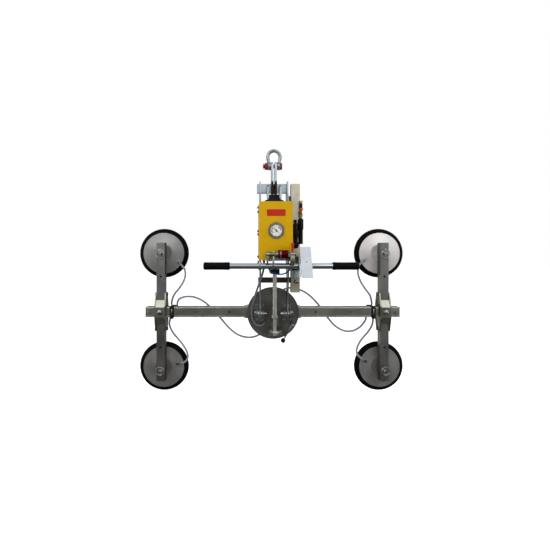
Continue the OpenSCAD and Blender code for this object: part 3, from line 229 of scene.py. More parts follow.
def finished(name, bm, body, materials, nodes=(), *, angle=38):
    """Turns a mesh drawn in millimetres into a piece that rides on its body and stands for its CAD nodes."""
    bmesh.ops.recalc_face_normals(bm, faces=bm.faces)
    bmesh.ops.transform(bm, matrix=DRAWN, verts=bm.verts)
    mesh = bpy.data.meshes.new(name)
    bm.to_mesh(mesh)
    bm.free()
    for material in materials:
        mesh.materials.append(material)
    mesh.polygons.foreach_set("use_smooth", [True] * len(mesh.polygons))
    mesh.set_sharp_from_angle(angle=math.radians(angle))
    piece = placed(name, mesh)
    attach(piece, body)
    if nodes:
        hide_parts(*nodes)


def coated(name, tones, ramp, spots, fine, relief, gloss, skin, edge=0.0, holes=None, top=None):
    """A surface whose two tones drift into each other, dark to light over a part of the ramp. Spots and fine are
    the grain of its tone and of its relief, each as a size in metres and the settings of its noise. Gloss is one
    roughness or the range that it drifts over, and skin holds the shader's other constants. Edge rounds the edges,
    but those of holes on a line, given by its axis, place and half width, stay sharp. Top is a paler tone painted
    on the upper edges, a painted highlight of the light from above."""
    made = emptied(bpy.data.materials.new(name))
    where = shade(made, "TexCoord").outputs["Object"]
    drift = shade(made, "TexNoise", {"Vector": where, "Scale": 1 / spots[0], **spots[1]})
    tone = shade(made, "ValToRGB", [drift])
    for step, at, code in zip(tone.color_ramp.elements, ramp, tones):
        step.position, step.color = at, linear(code)
    grain = shade(made, "TexNoise", {"Vector": where, "Scale": 1 / fine[0], "Detail": fine[1]})
    bump = shade(made, "Bump", {"Strength": relief[0], "Distance": relief[1], "Height": grain})
    colour, links = tone, made.node_tree.links
    if isinstance(gloss, tuple):
        gloss = shade(made, "MapRange", [drift, 0.3, 0.7, *gloss])
    if edge:
        eased = shade(made, "Bevel", {"Radius": edge}, samples=4)
        links.new(eased.outputs[0], bump.inputs["Normal"])
    if holes:
        axis, place, half = holes
        part = shade(made, "SeparateXYZ", [where])
        away = shade(made, "Math", [part.outputs[axis]], operation="ABSOLUTE")
        near = shade(made, "Math", [away, place, half], operation="COMPARE")
        wide = shade(made, "MapRange", {"Value": near, "To Min": edge, "To Max": 0.0008})
        links.new(wide.outputs[0], eased.inputs["Radius"])
    # Top paints a paler tone on the rounded edges that face up: a painted highlight of the light from above.
    if top:
        own = shade(made, "VectorTransform", [eased], vector_type="NORMAL", convert_from="WORLD",
                    convert_to="OBJECT")
        part = shade(made, "SeparateXYZ", [own])
        upward = shade(made, "MapRange", [part.outputs["Z"], 0.05, 0.3])
        flat = shade(made, "NewGeometry").outputs["True Normal"]
        bent = shade(made, "VectorMath", [eased, flat], operation="DOT_PRODUCT")
        edge_rounding = shade(made, "MapRange", [bent.outputs["Value"], 1.0, 0.97])
        painted_top_highlight = shade(made, "Math", [upward, edge_rounding], operation="MULTIPLY")
        colour = shade(made, "Mix", {0: painted_top_highlight, 6: tone, 7: linear(top)}, data_type="RGBA").outputs[2]
    body = shade(made, "BsdfPrincipled", {**skin, "Base Color": colour, "Roughness": gloss, "Normal": bump})
    shade(made, "OutputMaterial", [body])
    return made


def metal(name, light, dark, rough, patch, bump=0.03, metallic=1.0, grit=0.0006, **edges):
    """A bare or plated metal: two tones in patches of a real size, eased edges, and a grit that is drawn coarser
    than the real one, so that it shows."""
    return coated(name, (dark, light), (0.35, 0.65), (patch, {"Detail": 5.0}), (grit, 2.0), (bump, 0.0002),
                  (rough - 0.04, rough + 0.05), {"Metallic": metallic, "Specular Tint": linear("#84888a")}, **edges)


def lacquer(name, light, dark, rough, patch, edge=0.0, spec=0.3, peel=0.0025, bump=0.06):
    """Sprayed or powder paint: a tone that drifts a little in patches, and the slight waves of the coat."""
    return coated(name, (dark, light), (0.32, 0.62), (patch, {"Detail": 6.0, "Roughness": 0.6}), (peel, 1.0),
                  (bump, 0.0003), (rough + 0.08, rough - 0.05), {"Specular IOR Level": spec}, edge)


galvanised_steel = metal("galvanised_steel", "#a9afb1", "#7f8588", 0.36, 0.016, bump=0.1, metallic=0.9)
red_pin_paint = lacquer("red_pin_paint", "#8a1119", "#640b12", 0.36, patch=0.02)

bm = bmesh.new()
lean = math.radians(-11.5)                          # the bow's ends run inwards to the ears
bow = [(35 * math.cos(a), PIN_Y, 897.5 + 35 * math.sin(a))
       for a in (lean + (math.pi - 2 * lean) * k / 28 for k in range(29))]
swept(bm, [(25, PIN_Y, 847), (29.7, PIN_Y, 868)] + bow + [(-29.7, PIN_Y, 868), (-25, PIN_Y, 847)], 19, 24)
for side in (-1, 1):
    turned(bm, [(11.1, 0), (19.5, 0), (22, 2.5), (22, 15.5), (19.5, 18), (11.1, 18)], (side * 16, PIN_Y, PIN_Z),
           (side, 0, 0), closed=True)
finished("shackle_bow_forging", bm, "shackle", [galvanised_steel], ["shackle_bow"])

bm = bmesh.new()
rod(bm, (-62, PIN_Y, PIN_Z), (34, PIN_Y, PIN_Z), 22)
for start, end in ((34, 46), (-52, -34)):
    hexagon(bm, (start, PIN_Y, PIN_Z), (end, PIN_Y, PIN_Z), 35)
rod(bm, (-57, PIN_Y, 827.5), (-57, PIN_Y, 862.5), 4, 1, 0.4, 16)
finished("shackle_pin_and_nut", bm, "shackle", [red_pin_paint, galvanised_steel], ["shackle_pin"])


# Lifting bars and piston ------------------------------------------
# Two flat steel bars hang from the shackle pin and run down to the pump's piston. They are zinc plated to a
# bluish silver. Their broad sides are painted darker, as painted shade, and their front faces turn a dark
# brown where they pass between the guide cheeks.
def dressed(material, *names):
    """Gives CAD pieces whose shape is right their material."""
    for name in names:
        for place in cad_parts[name].material_slots:
            place.material = material


blue_zinc = metal("blue_zinc_plate", "#ccd4d8", "#b4bec4", 0.3, 0.05, metallic=0.95, edge=0.0012)

bar = emptied(bpy.data.materials.new("zinc_bar_painted_side_shade"))
where = shade(bar, "TexCoord")
part = shade(bar, "SeparateXYZ", [where.outputs["Object"]])
# Front faces low on the bars turn a dark brown, where they pass between the guide cheeks.
front = shade(bar, "MapRange", [part.outputs["Y"], -0.0205, -0.0225])
low = shade(bar, "MapRange", [part.outputs["Z"], -0.160, -0.172])
dark_front_mask = shade(bar, "Math", [front, low], operation="MULTIPLY")
# Faces that look sideways are painted a darker grey: painted shade on the bars' broad sides.
faces = shade(bar, "SeparateXYZ", [where.outputs["Normal"]])
across = shade(bar, "Math", [faces.outputs["X"]], operation="ABSOLUTE")
side_shade_mask = shade(bar, "MapRange", [across, 0.5, 0.9])
plain = shade(bar, "Mix", {0: side_shade_mask, 6: linear("#c8d2d8"), 7: linear("#535a5b")}, data_type="RGBA")
zinc = shade(bar, "Mix", {0: dark_front_mask, 6: plain.outputs[2], 7: linear("#33271f")}, data_type="RGBA")
aside = shade(bar, "Math", [part.outputs["X"]], operation="ABSOLUTE")
spacer = shade(bar, "Math", [aside, 0.0037], operation="LESS_THAN")
tone = shade(bar, "Mix", {0: spacer, 6: zinc.outputs[2], 7: linear("#12131c")}, data_type="RGBA")
relief = shade(bar, "Bevel", {"Radius": 0.001}, samples=4)
skin = shade(bar, "BsdfPrincipled", {"Metallic": 0.85, "Roughness": 0.34, "Specular Tint": linear("#6b6f71"),
                                     "Base Color": tone.outputs[2], "Normal": relief})
shade(bar, "OutputMaterial", [skin])

# Turned steel keeps faint tool marks, so it shines softly.
turned_steel = metal("turned_steel", "#b8b7b1", "#8f8e88", 0.28, 0.05, bump=0.1, edge=0.0008)
dressed(bar, "lift_bars")
dressed(turned_steel, "piston")


# Housing ----------------------------------------------------------
# Two zinc-plated side plates carry everything. A square tube with two guide cheeks joins their tops, and the
# pump's honed cylinder stands between them on its end plates.
# Honed steel has an even grey sheen. The brackets' olive passivation is dark and dull.
honed_steel = metal("honed_steel", "#c2c4c4", "#9a9c9c", 0.3, 0.06, bump=0.05, edge=0.0012)
rail_olive = metal("rail_olive_zinc", "#4b473c", "#37342b", 0.4, 0.05, metallic=0.5, edge=0.0015)
dressed(blue_zinc, "side_plates", "cross_tube")
dressed(rail_olive, "tank_brackets")
dressed(honed_steel, "pump_cylinder")

# Boot -------------------------------------------------------------
# A moulded black rubber boot is clamped on the pump's upper end plate. Its neck wraps the two bars, with two
# shallow folds that let it give, and its shoulders are rounded off by the mould.
def moulded(name, light, dark, rough, grain=0.0012, bump=0.12, spec=0.12, edge=0.0):
    """Moulded rubber or plastic: a faint bloom of handling and dust, and the mould's fine grain, which is drawn
    a millimetre or two wide so that it shows."""
    return coated(name, (dark, light), (0.35, 0.7), (1 / 28, {"Detail": 5.0}), (grain, 2.0), (bump, 0.0002), rough,
                  {"Specular IOR Level": spec}, edge)


ROUND = {"profile": 0.5, "affect": "EDGES", "material": -1}


def slab(bm, outline, low, high, axis, mat=0, edge=0.8, segments=2):
    """A flat piece: an outline in the two other axes, extruded from low to high, with its edges eased."""
    before, at = set(bm.verts), "xyz".index(axis)
    corners = [bm.verts.new((*p[:at], low, *p[at:])) for p in outline]
    grown = bmesh.ops.extrude_face_region(bm, geom=[bm.faces.new(corners)])["geom"]
    way = Vector((0, 0, 0))
    way[at] = high - low
    bmesh.ops.translate(bm, vec=way, verts=[g for g in grown if isinstance(g, bmesh.types.BMVert)])
    made = set(added(bm, before))
    bmesh.ops.recalc_face_normals(bm, faces=list({f for v in made for f in v.link_faces}))
    if edge:
        edges = [e for e in bm.edges if made.issuperset(e.verts) and len(e.link_faces) == 2
                 and e.calc_face_angle(0) > 0.3]
        bmesh.ops.bevel(bm, geom=edges, offset=edge, segments=segments, clamp_overlap=True, **ROUND)
    paint(added(bm, before), mat)


def box(bm, x, y, z, edge, mat=0, segments=2):
    """A block between two corners, with its edges eased."""
    slab(bm, [(x[0], y[0]), (x[1], y[0]), (x[1], y[1]), (x[0], y[1])], *z, "z", mat, edge, segments)


# Moulded rubber hardly shines, and its bloom lends the black a bluish tinge.
boot_rubber = moulded("boot_rubber", "#181a24", "#0f1017", 0.5)
bm = bmesh.new()
box(bm, (-66, 66), (-147, -63), (616, 622), edge=2, segments=3)
neck = [(-58, 622), (58, 622), (58, 641), (50, 648), (34, 654), (30, 660), (28, 665), (30, 670), (28, 675),
        (29, 680), (-29, 680), (-28, 675), (-30, 670), (-28, 665), (-30, 660), (-34, 654), (-50, 648), (-58, 641)]
slab(bm, neck, -139, -71, "y", edge=3.5, segments=3)
finished("boot_moulding", bm, "housing", [boot_rubber], ["boot"])


# Cover ------------------------------------------------------------
# The pump's cover is folded from 2 mm sheet and powder coated in traffic yellow, satin, with the faint orange
# peel of powder. It is open below and behind, and knurled side bolts hold it to the side plates.
def folded(bm, gone, out, radius, thickness):
    """Makes folded sheet of a block: some faces go, its folds are rounded and it thickens inwards. Out is the way
    that its farthest face looks."""
    bmesh.ops.delete(bm, geom=gone, context="FACES")
    folds = [e for e in bm.edges if len(e.link_faces) == 2 and e.calc_face_angle(0) > 0.5]
    bmesh.ops.bevel(bm, geom=folds, offset=radius, segments=4, **ROUND)
    bmesh.ops.recalc_face_normals(bm, faces=bm.faces)
    outer = max(bm.faces, key=lambda face: face.calc_center_median().dot(out))
    if outer.normal.dot(out) < 0:
        bmesh.ops.reverse_faces(bm, faces=bm.faces)
    bmesh.ops.solidify(bm, geom=bm.faces[:], thickness=thickness)


COVER_FRONT, COVER_BACK = -270, -156                # behind the second, the top is open
yellow_powder = lacquer("yellow_powder_coat", "#c99c01", "#c19600", 0.42, spec=0.1, patch=0.12, peel=0.004)
bm = bmesh.new()
box(bm, (-88, 88), (COVER_FRONT, -46), (316, 624), edge=0)
bmesh.ops.bisect_plane(bm, geom=bm.verts[:] + bm.edges[:] + bm.faces[:], plane_co=(0, COVER_BACK, 0), plane_no=BACK)
centres = [(face, face.calc_center_median()) for face in bm.faces]
folded(bm, [face for face, at in centres if at.z < 317 or at.y > -47 or (at.z > 623 and at.y > COVER_BACK)],
       Vector(FRONT), 3.5, 2)
finished("cover_shell", bm, "housing", [yellow_powder], ["cover"], angle=50)

# Oiled black oxide leaves steel black, with a soft grey sheen.
black_oxide = metal("black_oxide_steel", "#2b2b2e", "#161618", 0.42, 0.01, metallic=0.6)
bm = bmesh.new()
for side in (-1, 1):
    for z in (332, 457, 475, 584, 609):
        rod(bm, (side * 82, -128, z), (side * 86, -128, z), 16, edge=0.5)
        turned(bm, [(0, 0), (6.5, 0), (6.5, 4.5), (5, 6.8), (3.2, 7), (3.2, 3.5), (0, 3.5)],
               (side * 88, -128, z), (side, 0, 0), 24)
finished("cover_side_bolts", bm, "housing", [black_oxide], ["cover_bolts"])

# Label plate ------------------------------------------------------
# A bare red plate, glued to the cover above the gauge. It is thin aluminium with a satin red face.
label_red = lacquer("label_plate_red", "#b42a16", "#a92512", 0.4, spec=0.15, patch=0.05, peel=0.001, bump=0.02)
bm = bmesh.new()
slab(bm, [(-46, 546.5), (46, 546.5), (49, 549.5), (49, 578.5), (46, 581.5), (-46, 581.5), (-49, 578.5),
          (-49, 549.5)], COVER_FRONT - 1, COVER_FRONT + 0.1, "y", edge=0.3, segments=1)
finished("label_plate_bare", bm, "housing", [label_red], ["label_plate"])


# Vacuum gauge -----------------------------------------------------
# A 63 mm gauge with a nickel-plated flange, held by three screws. Its white dial has printed ticks and plain
# numbers, a green field for a safe vacuum and a red one for too little, behind a plastic window.
GAUGE_Y, GAUGE_Z = COVER_FRONT, 470                 # its flange on the cover
PRINT_Y = -275.4                                    # the face of the dial's print
# The nickel has a warm tinge. The dial and its prints are flat colours that hardly shine.
gauge_nickel = metal("gauge_nickel", "#a59c80", "#8a8169", 0.3, 0.04, metallic=0.9)
dial_white = moulded("dial_white_print", "#e3e0da", "#dad7d0", 0.5, bump=0.02)
dial_black = moulded("dial_black_print", "#17181b", "#101114", 0.5, bump=0.02)
dial_green = moulded("dial_green_print", "#2f8a43", "#2a7d3c", 0.5, bump=0.02)
dial_red = moulded("dial_red_print", "#b32418", "#a52015", 0.5, bump=0.02)


def on_dial(r, degrees, y):
    """A point on the dial, by radius and angle from the right, upwards."""
    a = math.radians(degrees)
    return (r * math.cos(a), y, GAUGE_Z + r * math.sin(a))


def field(bm, inner, outer, start, end, y, mat):
    """A printed field of the scale: a short line swept round the dial."""
    before = set(bm.verts)
    ends = [bm.verts.new(on_dial(r, start, y)) for r in (inner, outer)]
    line = bm.edges.new(ends)
    bmesh.ops.spin(bm, geom=ends + [line], cent=(0, y, GAUGE_Z), axis=FRONT,
                   angle=math.radians(end - start), steps=max(2, int(abs(end - start) / 6)))
    paint(added(bm, before), mat)


def numeral(bm, text, at, mat):
    """A printed number that faces the operator."""
    letters = bpy.data.curves.new("numeral", "FONT")
    letters.body, letters.size, letters.extrude = text, 6.0, 0.05
    letters.align_x = letters.align_y = "CENTER"
    holder = placed("numeral", letters)
    before = set(bm.verts)
    bm.from_mesh(holder.evaluated_get(bpy.context.evaluated_depsgraph_get()).to_mesh())
    made = added(bm, before)
    bmesh.ops.transform(bm, matrix=Matrix.Translation(at) @ Matrix.Rotation(math.pi / 2, 4, "X"), verts=made)
    paint(made, mat)
    bpy.data.objects.remove(holder)
    bpy.data.curves.remove(letters)


bm = bmesh.new()
turned(bm, [(0, 0), (42.5, 0), (44, 1.2), (44, 2.2), (43, 3), (35, 3), (35, 10.4), (33.8, 12), (31.8, 12),
            (31, 11), (31, 5), (0, 5)], (0, GAUGE_Y, GAUGE_Z), FRONT, 64)
turned(bm, [(0, 0), (31, 0), (31, 40), (28, 44), (7, 44), (7, 62), (0, 62)], (0, GAUGE_Y, GAUGE_Z), BACK, 48)
rod(bm, (-20, -212, GAUGE_Z), (0, -212, GAUGE_Z), 10)
for degrees in (90, 210, 330):
    turned(bm, [(0, 0), (3.5, 0), (3.5, 1.2), (2.4, 2.4), (1.3, 2.5), (1.3, 1.5), (0, 1.5)],
           on_dial(39.2, degrees, -272.9), FRONT, 20)
turned(bm, [(0, 0), (30.8, 0), (30.8, 0.3), (0, 0.3)], (0, -275, GAUGE_Z), FRONT, 64, mat=1)
rod(bm, (0, -280, GAUGE_Z), (0, -275, GAUGE_Z), 3, 0, 0.2, 16)
field(bm, 20.5, 25.5, 140, 214, -275.35, 3)
field(bm, 20.5, 25.5, 0, 62, -275.35, 4)
for step in range(31):
    degrees, half = 225 - 9 * step, 0.5 if step % 5 else 0.9
    field(bm, 26.8 if step % 5 else 25.8, 29, degrees - half, degrees + half, PRINT_Y, 2)
for step, text in ((0, "0"), (10, "-30"), (20, "-60"), (30, "-90")):
    numeral(bm, text, on_dial(17.5, 225 - 9 * step, PRINT_Y), 2)
field(bm, 6, 8.5, 250, 290, PRINT_Y, 4)
finished("gauge_case_and_dial", bm, "housing", [gauge_nickel, dial_white, dial_black, dial_green, dial_red],
         ["gauge"])


def clear(name, colour, rough, transmission):
    """A clear plastic that lets the lamps' light through to what lies behind it."""
    made = emptied(bpy.data.materials.new(name))
    skin = shade(made, "BsdfPrincipled", {"Base Color": linear(colour), "Roughness": rough, "IOR": 1.45,
                                          "Transmission Weight": transmission})
    path = shade(made, "LightPath")
    lit = shade(made, "Math", [path.outputs["Is Shadow Ray"], path.outputs["Is Diffuse Ray"]],
                operation="MAXIMUM")
    through = shade(made, "BsdfTransparent", [linear(colour)])
    both = shade(made, "MixShader", [lit, skin, through])
    shade(made, "OutputMaterial", [both])
    return made


window_plastic = clear("gauge_window_plastic", "#ffffff", 0.03, 1.0)
bm = bmesh.new()
turned(bm, [(0, 0), (31, 0), (31, 1), (22, 1.5), (10, 1.9), (0, 2)], (0, -280.4, GAUGE_Z), FRONT, 48)
finished("gauge_window", bm, "housing", [window_plastic])

# Stoved enamel, black with a slight gloss.
needle_black = moulded("needle_black_enamel", "#141416", "#0d0d0f", 0.4, bump=0.02)
bm = bmesh.new()
turned(bm, [(1.6, 0), (4, 0), (4, 1.6), (3.4, 2), (1.6, 2)], (0, -278, GAUGE_Z), FRONT, 24, closed=True)
lean = Matrix.Rotation(math.radians(135), 2)
needle = [lean @ Vector(p) for p in ((21, 0.5), (4, 1.7), (-9, 2.2), (-10.5, 0), (-9, -2.2), (4, -1.7), (21, -0.5))]
slab(bm, [(p.x, GAUGE_Z + p.y) for p in needle], -279, -278.3, "y", edge=0)
finished("gauge_needle_blade", bm, "needle", [needle_black], ["gauge_needle"])

# Vacuum tank ------------------------------------------------------
# The mast on the right is the vacuum reserve: a square steel tube, yellow passivated, closed at both ends
# and bolted to two brackets. Its drain hole looks out at the lower end.
# Yellow passivation gives the zinc a straw tinge, which drifts over a hand's breadth.
yellow_zinc = metal("yellow_passivated_zinc", "#dbd5bf", "#c4bda4", 0.3, 0.09, metallic=0.92, edge=0.004)
dressed(yellow_zinc, "vacuum_tank")

# Brass manifold and release button --------------------------------
# Turned brass with a hexagon for the spanner, screwed into the tank. An orange button lets the vacuum off,
# and a black cap closes the top. The side nipple feeds the pump through the cover's wall.
# Bare brass has dulled to a brownish gold. The moulded nylon is black with a fine matt grain.
bare_brass = metal("bare_brass", "#a89468", "#85744b", 0.32, 0.02)
black_moulding = moulded("black_moulded_nylon", "#131416", "#0b0c0d", 0.4, spec=0.15)
MANIFOLD = x, y = 150.3, -124.5
BUTTON_X, BUTTON_Z = 152.3, 596
SIDE_Y = -127                                       # the plane of the small side hose and of the canister
bm = bmesh.new()
rod(bm, (x, y, 545), (x, y, 637), 15)
hexagon(bm, (x, y, 559), (x, y, 575), 17)
rod(bm, (141, y, 583), (141, -110, 583), 10)
hexagon(bm, (141, -117, 583), (141, -111, 583), 12)
turned(bm, [(0, 0), (6.5, 0), (6.5, 14), (5.5, 15), (5.5, 17), (3.3, 18), (3.3, 8), (0, 8)],
       (BUTTON_X, y, BUTTON_Z), FRONT, 32)
turned(bm, [(7.4, 0), (9.2, 1), (9.2, 26), (7.4, 27)], (x, y, 605), UP, 32, mat=1, closed=True)
turned(bm, [(0, 0), (8.5, 0), (9.5, 1), (9.5, 8), (8, 10), (0, 10)], (x, y, 637), UP, 32)
hexagon(bm, (88, SIDE_Y, 489), (92, SIDE_Y, 489), 12)
rod(bm, (91, SIDE_Y, 489), (93, SIDE_Y, 489), 9, edge=0.3)
finished("brass_manifold", bm, "housing", [bare_brass, black_moulding], ["manifold"])

# Moulded plastic in a signal orange, smooth enough to shine a little.
orange_plastic = moulded("orange_button_plastic", "#e8571f", "#d94c18", 0.34, bump=0.03)
bm = bmesh.new()
turned(bm, [(0, 0), (3, 0), (3, 9.8), (7, 9.8), (7.5, 10.6), (7.5, 14.8), (6.4, 16.4), (0, 16.7)],
       (BUTTON_X, -137, BUTTON_Z), FRONT, 32)
finished("release_button_cap", bm, "button", [orange_plastic], ["release_button"])

# Filters and vacuum valve -----------------------------------------
# The black canister and the valve beside it are glass-filled nylon with moulded grip ribs. Below hangs a
# filter with a clear bowl, so that water and dust can be seen, and a brass drain screw.
BOWL = (126, -136)                                  # the axis of the filter with the clear bowl
bm = bmesh.new()
for (x, y), foot, profile, count, r, low, high, d in (
        ((120.5, SIDE_Y), 380,
         [(0, 0), (13, 0), (17, 8), (17, 29), (16, 30), (11.5, 31), (11, 33), (11, 57), (12, 59), (14.3, 59.5),
          (15, 61), (15, 136), (14, 138), (9, 139), (6, 140), (6, 160), (0, 160)], 16, 16.6, 390, 408, 2),
        (MANIFOLD, 403,
         [(0, 0), (10, 0), (11.5, 1.5), (11.5, 79), (12, 81), (13, 81.5), (14, 83), (14, 139), (12.5, 142), (0, 142)],
         14, 13.7, 490, 539, 1.8)):
    turned(bm, profile, (x, y, foot), UP, 40)
    for a in (math.tau * k / count for k in range(count)):
        rib = (x + r * math.cos(a), y + r * math.sin(a))
        rod(bm, (*rib, low), (*rib, high), d, edge=0.5, steps=8)
rod(bm, (111.3, SIDE_Y, 534.5), (120.5, SIDE_Y, 534.5), 8)
box(bm, (106, 146), (-158, -110), (262, 290), edge=3, segments=3)
turned(bm, [(0, 0), (26, 0), (26, 8), (24, 9.5), (0, 10)], (*BOWL, 256), UP, 40)
finished("filter_canister_and_valve", bm, "housing", [black_moulding], ["vacuum_filters"])

# Polycarbonate, clear with a smoky tint, so what is in the bowl can be seen.
bowl_plastic = clear("smoky_polycarbonate", "#e2e8ea", 0.06, 0.9)
bm = bmesh.new()
turned(bm, [(4.2, 0), (17, 0), (22.5, 3), (24.5, 9), (24.5, 52), (24.2, 53), (21.5, 53), (21.5, 10), (20, 6),
            (16, 3.2), (4.2, 3)], (*BOWL, 203), UP, 48, closed=True)
finished("clear_filter_bowl", bm, "housing", [bowl_plastic], ["filter_bowl"])
# Pressed felt, off-white and quite dull.
filter_felt = moulded("filter_element", "#cfccc2", "#bdb9ad", 0.8)
bm = bmesh.new()
turned(bm, [(0, 0), (10, 0), (12, 2), (12, 38), (0, 38)], (*BOWL, 218), UP, 32)
finished("filter_element_core", bm, "housing", [filter_felt])

# Thin nickel over brass, so it shines with a yellow tinge.
drain_nickel = metal("drain_screw_nickel", "#cfc29c", "#a99c78", 0.22, 0.02)
bm = bmesh.new()
turned(bm, [(0, 0), (5, 0.3), (9, 1.6), (12.5, 4.5), (14.5, 8.5), (15, 12), (15, 16.5), (14, 18), (8, 18.5),
            (8, 21.4), (4, 22), (4, 25.3), (0, 25.3)], (*BOWL, 180.7), UP, 40)
finished("drain_screw_dome", bm, "drain", [drain_nickel], ["drain_knob"])

# Valve row --------------------------------------------------------
# Nickel-plated fittings in a line across the cover's foot: an elbow, a spool with a red anodised slide sleeve
# on it, and a tee with the fork of the hand lever. Spanner hexagons and knurling are cut into them.
VALVE_Y, VALVE_Z = -300, 345
TEE_X, PIVOT_Z = 82, 350                            # the hand lever's fork and pivot
FOOTING = COVER_FRONT + 0.2                         # where its feet end, just inside the cover's sheet


def row(x):
    """A point on the axis of the valve row."""
    return (x, VALVE_Y, VALVE_Z)


def low_row(x):
    """A point on the axis of the small hose's fittings, below the row."""
    return (x, -296, 316)


def ball(bm, at, r, mat=0):
    """A ball round a point."""
    made = bmesh.ops.create_uvsphere(bm, u_segments=32, v_segments=20, radius=r)["verts"]
    bmesh.ops.translate(bm, verts=made, vec=at)
    paint(made, mat)


# Nickel plate is a warm grey that mirrors its surroundings, a little blurred.
nickel = metal("nickel_plate", "#b9b6aa", "#918e83", 0.22, 0.04, edge=0.0006)
bm = bmesh.new()
rod(bm, row(-45), row(-5), 22)
turned(bm, [(0, 0), (12, 0), (13.4, 1.4), (13.4, 5), (12, 6.4), (0, 6.4)], row(-36), RIGHT, 32)
ball(bm, row(-45), 12)
rod(bm, row(-45), (-45, FOOTING, VALVE_Z), 22)
turned(bm, [(0, 0), (14, 0), (14, 5), (13, 6), (0, 6)], (-45, -276, VALVE_Z), BACK, 6)
rod(bm, (-45, VALVE_Y, 308), row(-45), 18)
hexagon(bm, (-45, VALVE_Y, 318), (-45, VALVE_Y, 331), 20)
turned(bm, [(0, 0), (6, 0), (6, 5), (5, 6), (6, 7), (5, 8), (6, 9), (5, 10), (5, 12), (0, 12)],
       low_row(-45), RIGHT, 24)
rod(bm, low_row(-34), low_row(-8), 8)
hexagon(bm, low_row(-31), low_row(-24), 12)
hexagon(bm, row(-11), row(-5), 24)
turned(bm, [(0, 0), (14.5, 0), (16, 1.5), (16, 5), (15, 6), (15, 9), (16, 10), (16, 63), (0, 63)],
       row(-5), RIGHT, 48)
finished("valve_row_left_fittings", bm, "housing", [nickel], ["valve_row"])

# Brass fittings that have gone brown and dull with handling.
aged_brass = metal("aged_brass", "#857a55", "#5b5337", 0.36, 0.02)
bm = bmesh.new()
turned(bm, [(0, 0), (20.8, 0), (20.8, 9), (19.8, 10), (0, 10)], row(58.3), RIGHT, 6)
turned(bm, [(0, 0), (13, 0), (13, 22), (14, 23), (14, 30.5), (12.8, 31.7), (0, 31.7)], row(68.3), RIGHT, 40)
rod(bm, row(74.3), (74.3, FOOTING, VALVE_Z), 24)
turned(bm, [(0, 0), (15.5, 0), (15.5, 6), (14.5, 7), (0, 7)], (74.3, -277, VALVE_Z), BACK, 6)
for side in (-1, 1):
    slab(bm, [(-309, 336), (-291, 336), (-291, 355), (-294, 359), (-306, 359), (-309, 355)],
         TEE_X + side * 5.8, TEE_X + side * 9, "x", edge=0.5)
box(bm, (70, 94), (-312, -288), (299, 341), edge=2, segments=3)
hexagon(bm, (TEE_X, VALVE_Y, 299.5), (TEE_X, VALVE_Y, 292), 20, 1)
rod(bm, low_row(48), low_row(71), 8, 1)
hexagon(bm, low_row(60), low_row(68), 12, 1)
rod(bm, (TEE_X, -289, 306), (TEE_X, -238.5, 306), 12, 1)
hexagon(bm, (TEE_X, -266, 306), (TEE_X, -258, 306), 14, 1)
rod(bm, (TEE_X, -246, 296.2), (TEE_X, -246, 306), 9, 1)
finished("valve_row_lever_tee", bm, "housing", [nickel, aged_brass])

# Anodising keeps the turned metal's shine under a deep clear red.
red_anodised = metal("red_anodised_aluminium", "#7c101b", "#5c0911", 0.22, 0.03, metallic=0.85)
bm = bmesh.new()
ribs = [(16.2, 0), (20.5, 0), (22.5, 2)]
for k in range(5):
    ribs += [(22.5, 23 + 5 * k), (20.6, 24 + 5 * k), (20.6, 25.6 + 5 * k), (22.5, 26.6 + 5 * k)]
turned(bm, ribs + [(22.5, 49), (20.5, 51), (16.2, 51)], row(7), RIGHT, 64, closed=True)
turned(bm, [(22.3, 9), (22.9, 9.6), (22.9, 15.4), (22.3, 16)], row(7), RIGHT, 64, 1, closed=True)
finished("slide_sleeve_ribbed", bm, "valve_sleeve", [red_anodised, nickel], ["slide_sleeve"])

# Sprayed paint, a bright plain red with some gloss.
lever_red = lacquer("lever_red_paint", "#bb1d12", "#9c150c", 0.32, patch=0.02)
bm = bmesh.new()
rod(bm, (73, VALVE_Y, PIVOT_Z), (91, VALVE_Y, PIVOT_Z), 6, 1, 0.4, 20)
turned(bm, [(0, 0), (5.5, 0), (6.5, 1), (6.5, 9.6), (5.5, 10.6), (0, 10.6)], (76.7, VALVE_Y, PIVOT_Z), RIGHT, 32)
turned(bm, [(0, 0), (4.5, 0), (4.5, 13), (6.3, 14.6), (6.5, 18), (6.3, 38), (6.8, 40), (8, 43), (8.5, 46.5),
            (8, 50), (6.2, 52.8), (3.4, 54.4), (0, 55)], (TEE_X, VALVE_Y, 349.5), UP, 32)
finished("hand_lever_with_ball", bm, "valve_lever", [lever_red, nickel], ["hand_lever"])

# Handlebar --------------------------------------------------------
# The operator's bar is a 30 mm steel tube, zinc plated and smooth and bright, with plain black rubber grips.
# It passes through a bracket on each side of the pump, and a small strap ties it to the valve row.
bar_zinc = metal("handlebar_zinc_plate", "#c6ccd0", "#afb4b7", 0.08, 0.12, edge=0.001)
BAR_Y, BAR_Z = -275, 284
PANEL_LEAN = math.radians(30)                       # the slanted plate, from its top edge
PANEL_Y, PANEL_Z = -262, 383
bm = bmesh.new()
turned(bm, [(12.5, 0), (14.6, 0), (15, 0.4), (15, 794.6), (14.6, 795), (12.5, 795)], (-372, BAR_Y, BAR_Z),
       RIGHT, 48, closed=True)
for at, wide in ((-95, 5), (-81.8, 6), (110, 5), (126.3, 5)):
    turned(bm, [(15.05, 0), (18.5, 0), (19, 0.5), (19, wide - 0.5), (18.5, wide), (15.05, wide)],
           (at, BAR_Y, BAR_Z), RIGHT, 40, closed=True)
finished("handlebar_tube", bm, "housing", [bar_zinc], ["handlebar"])

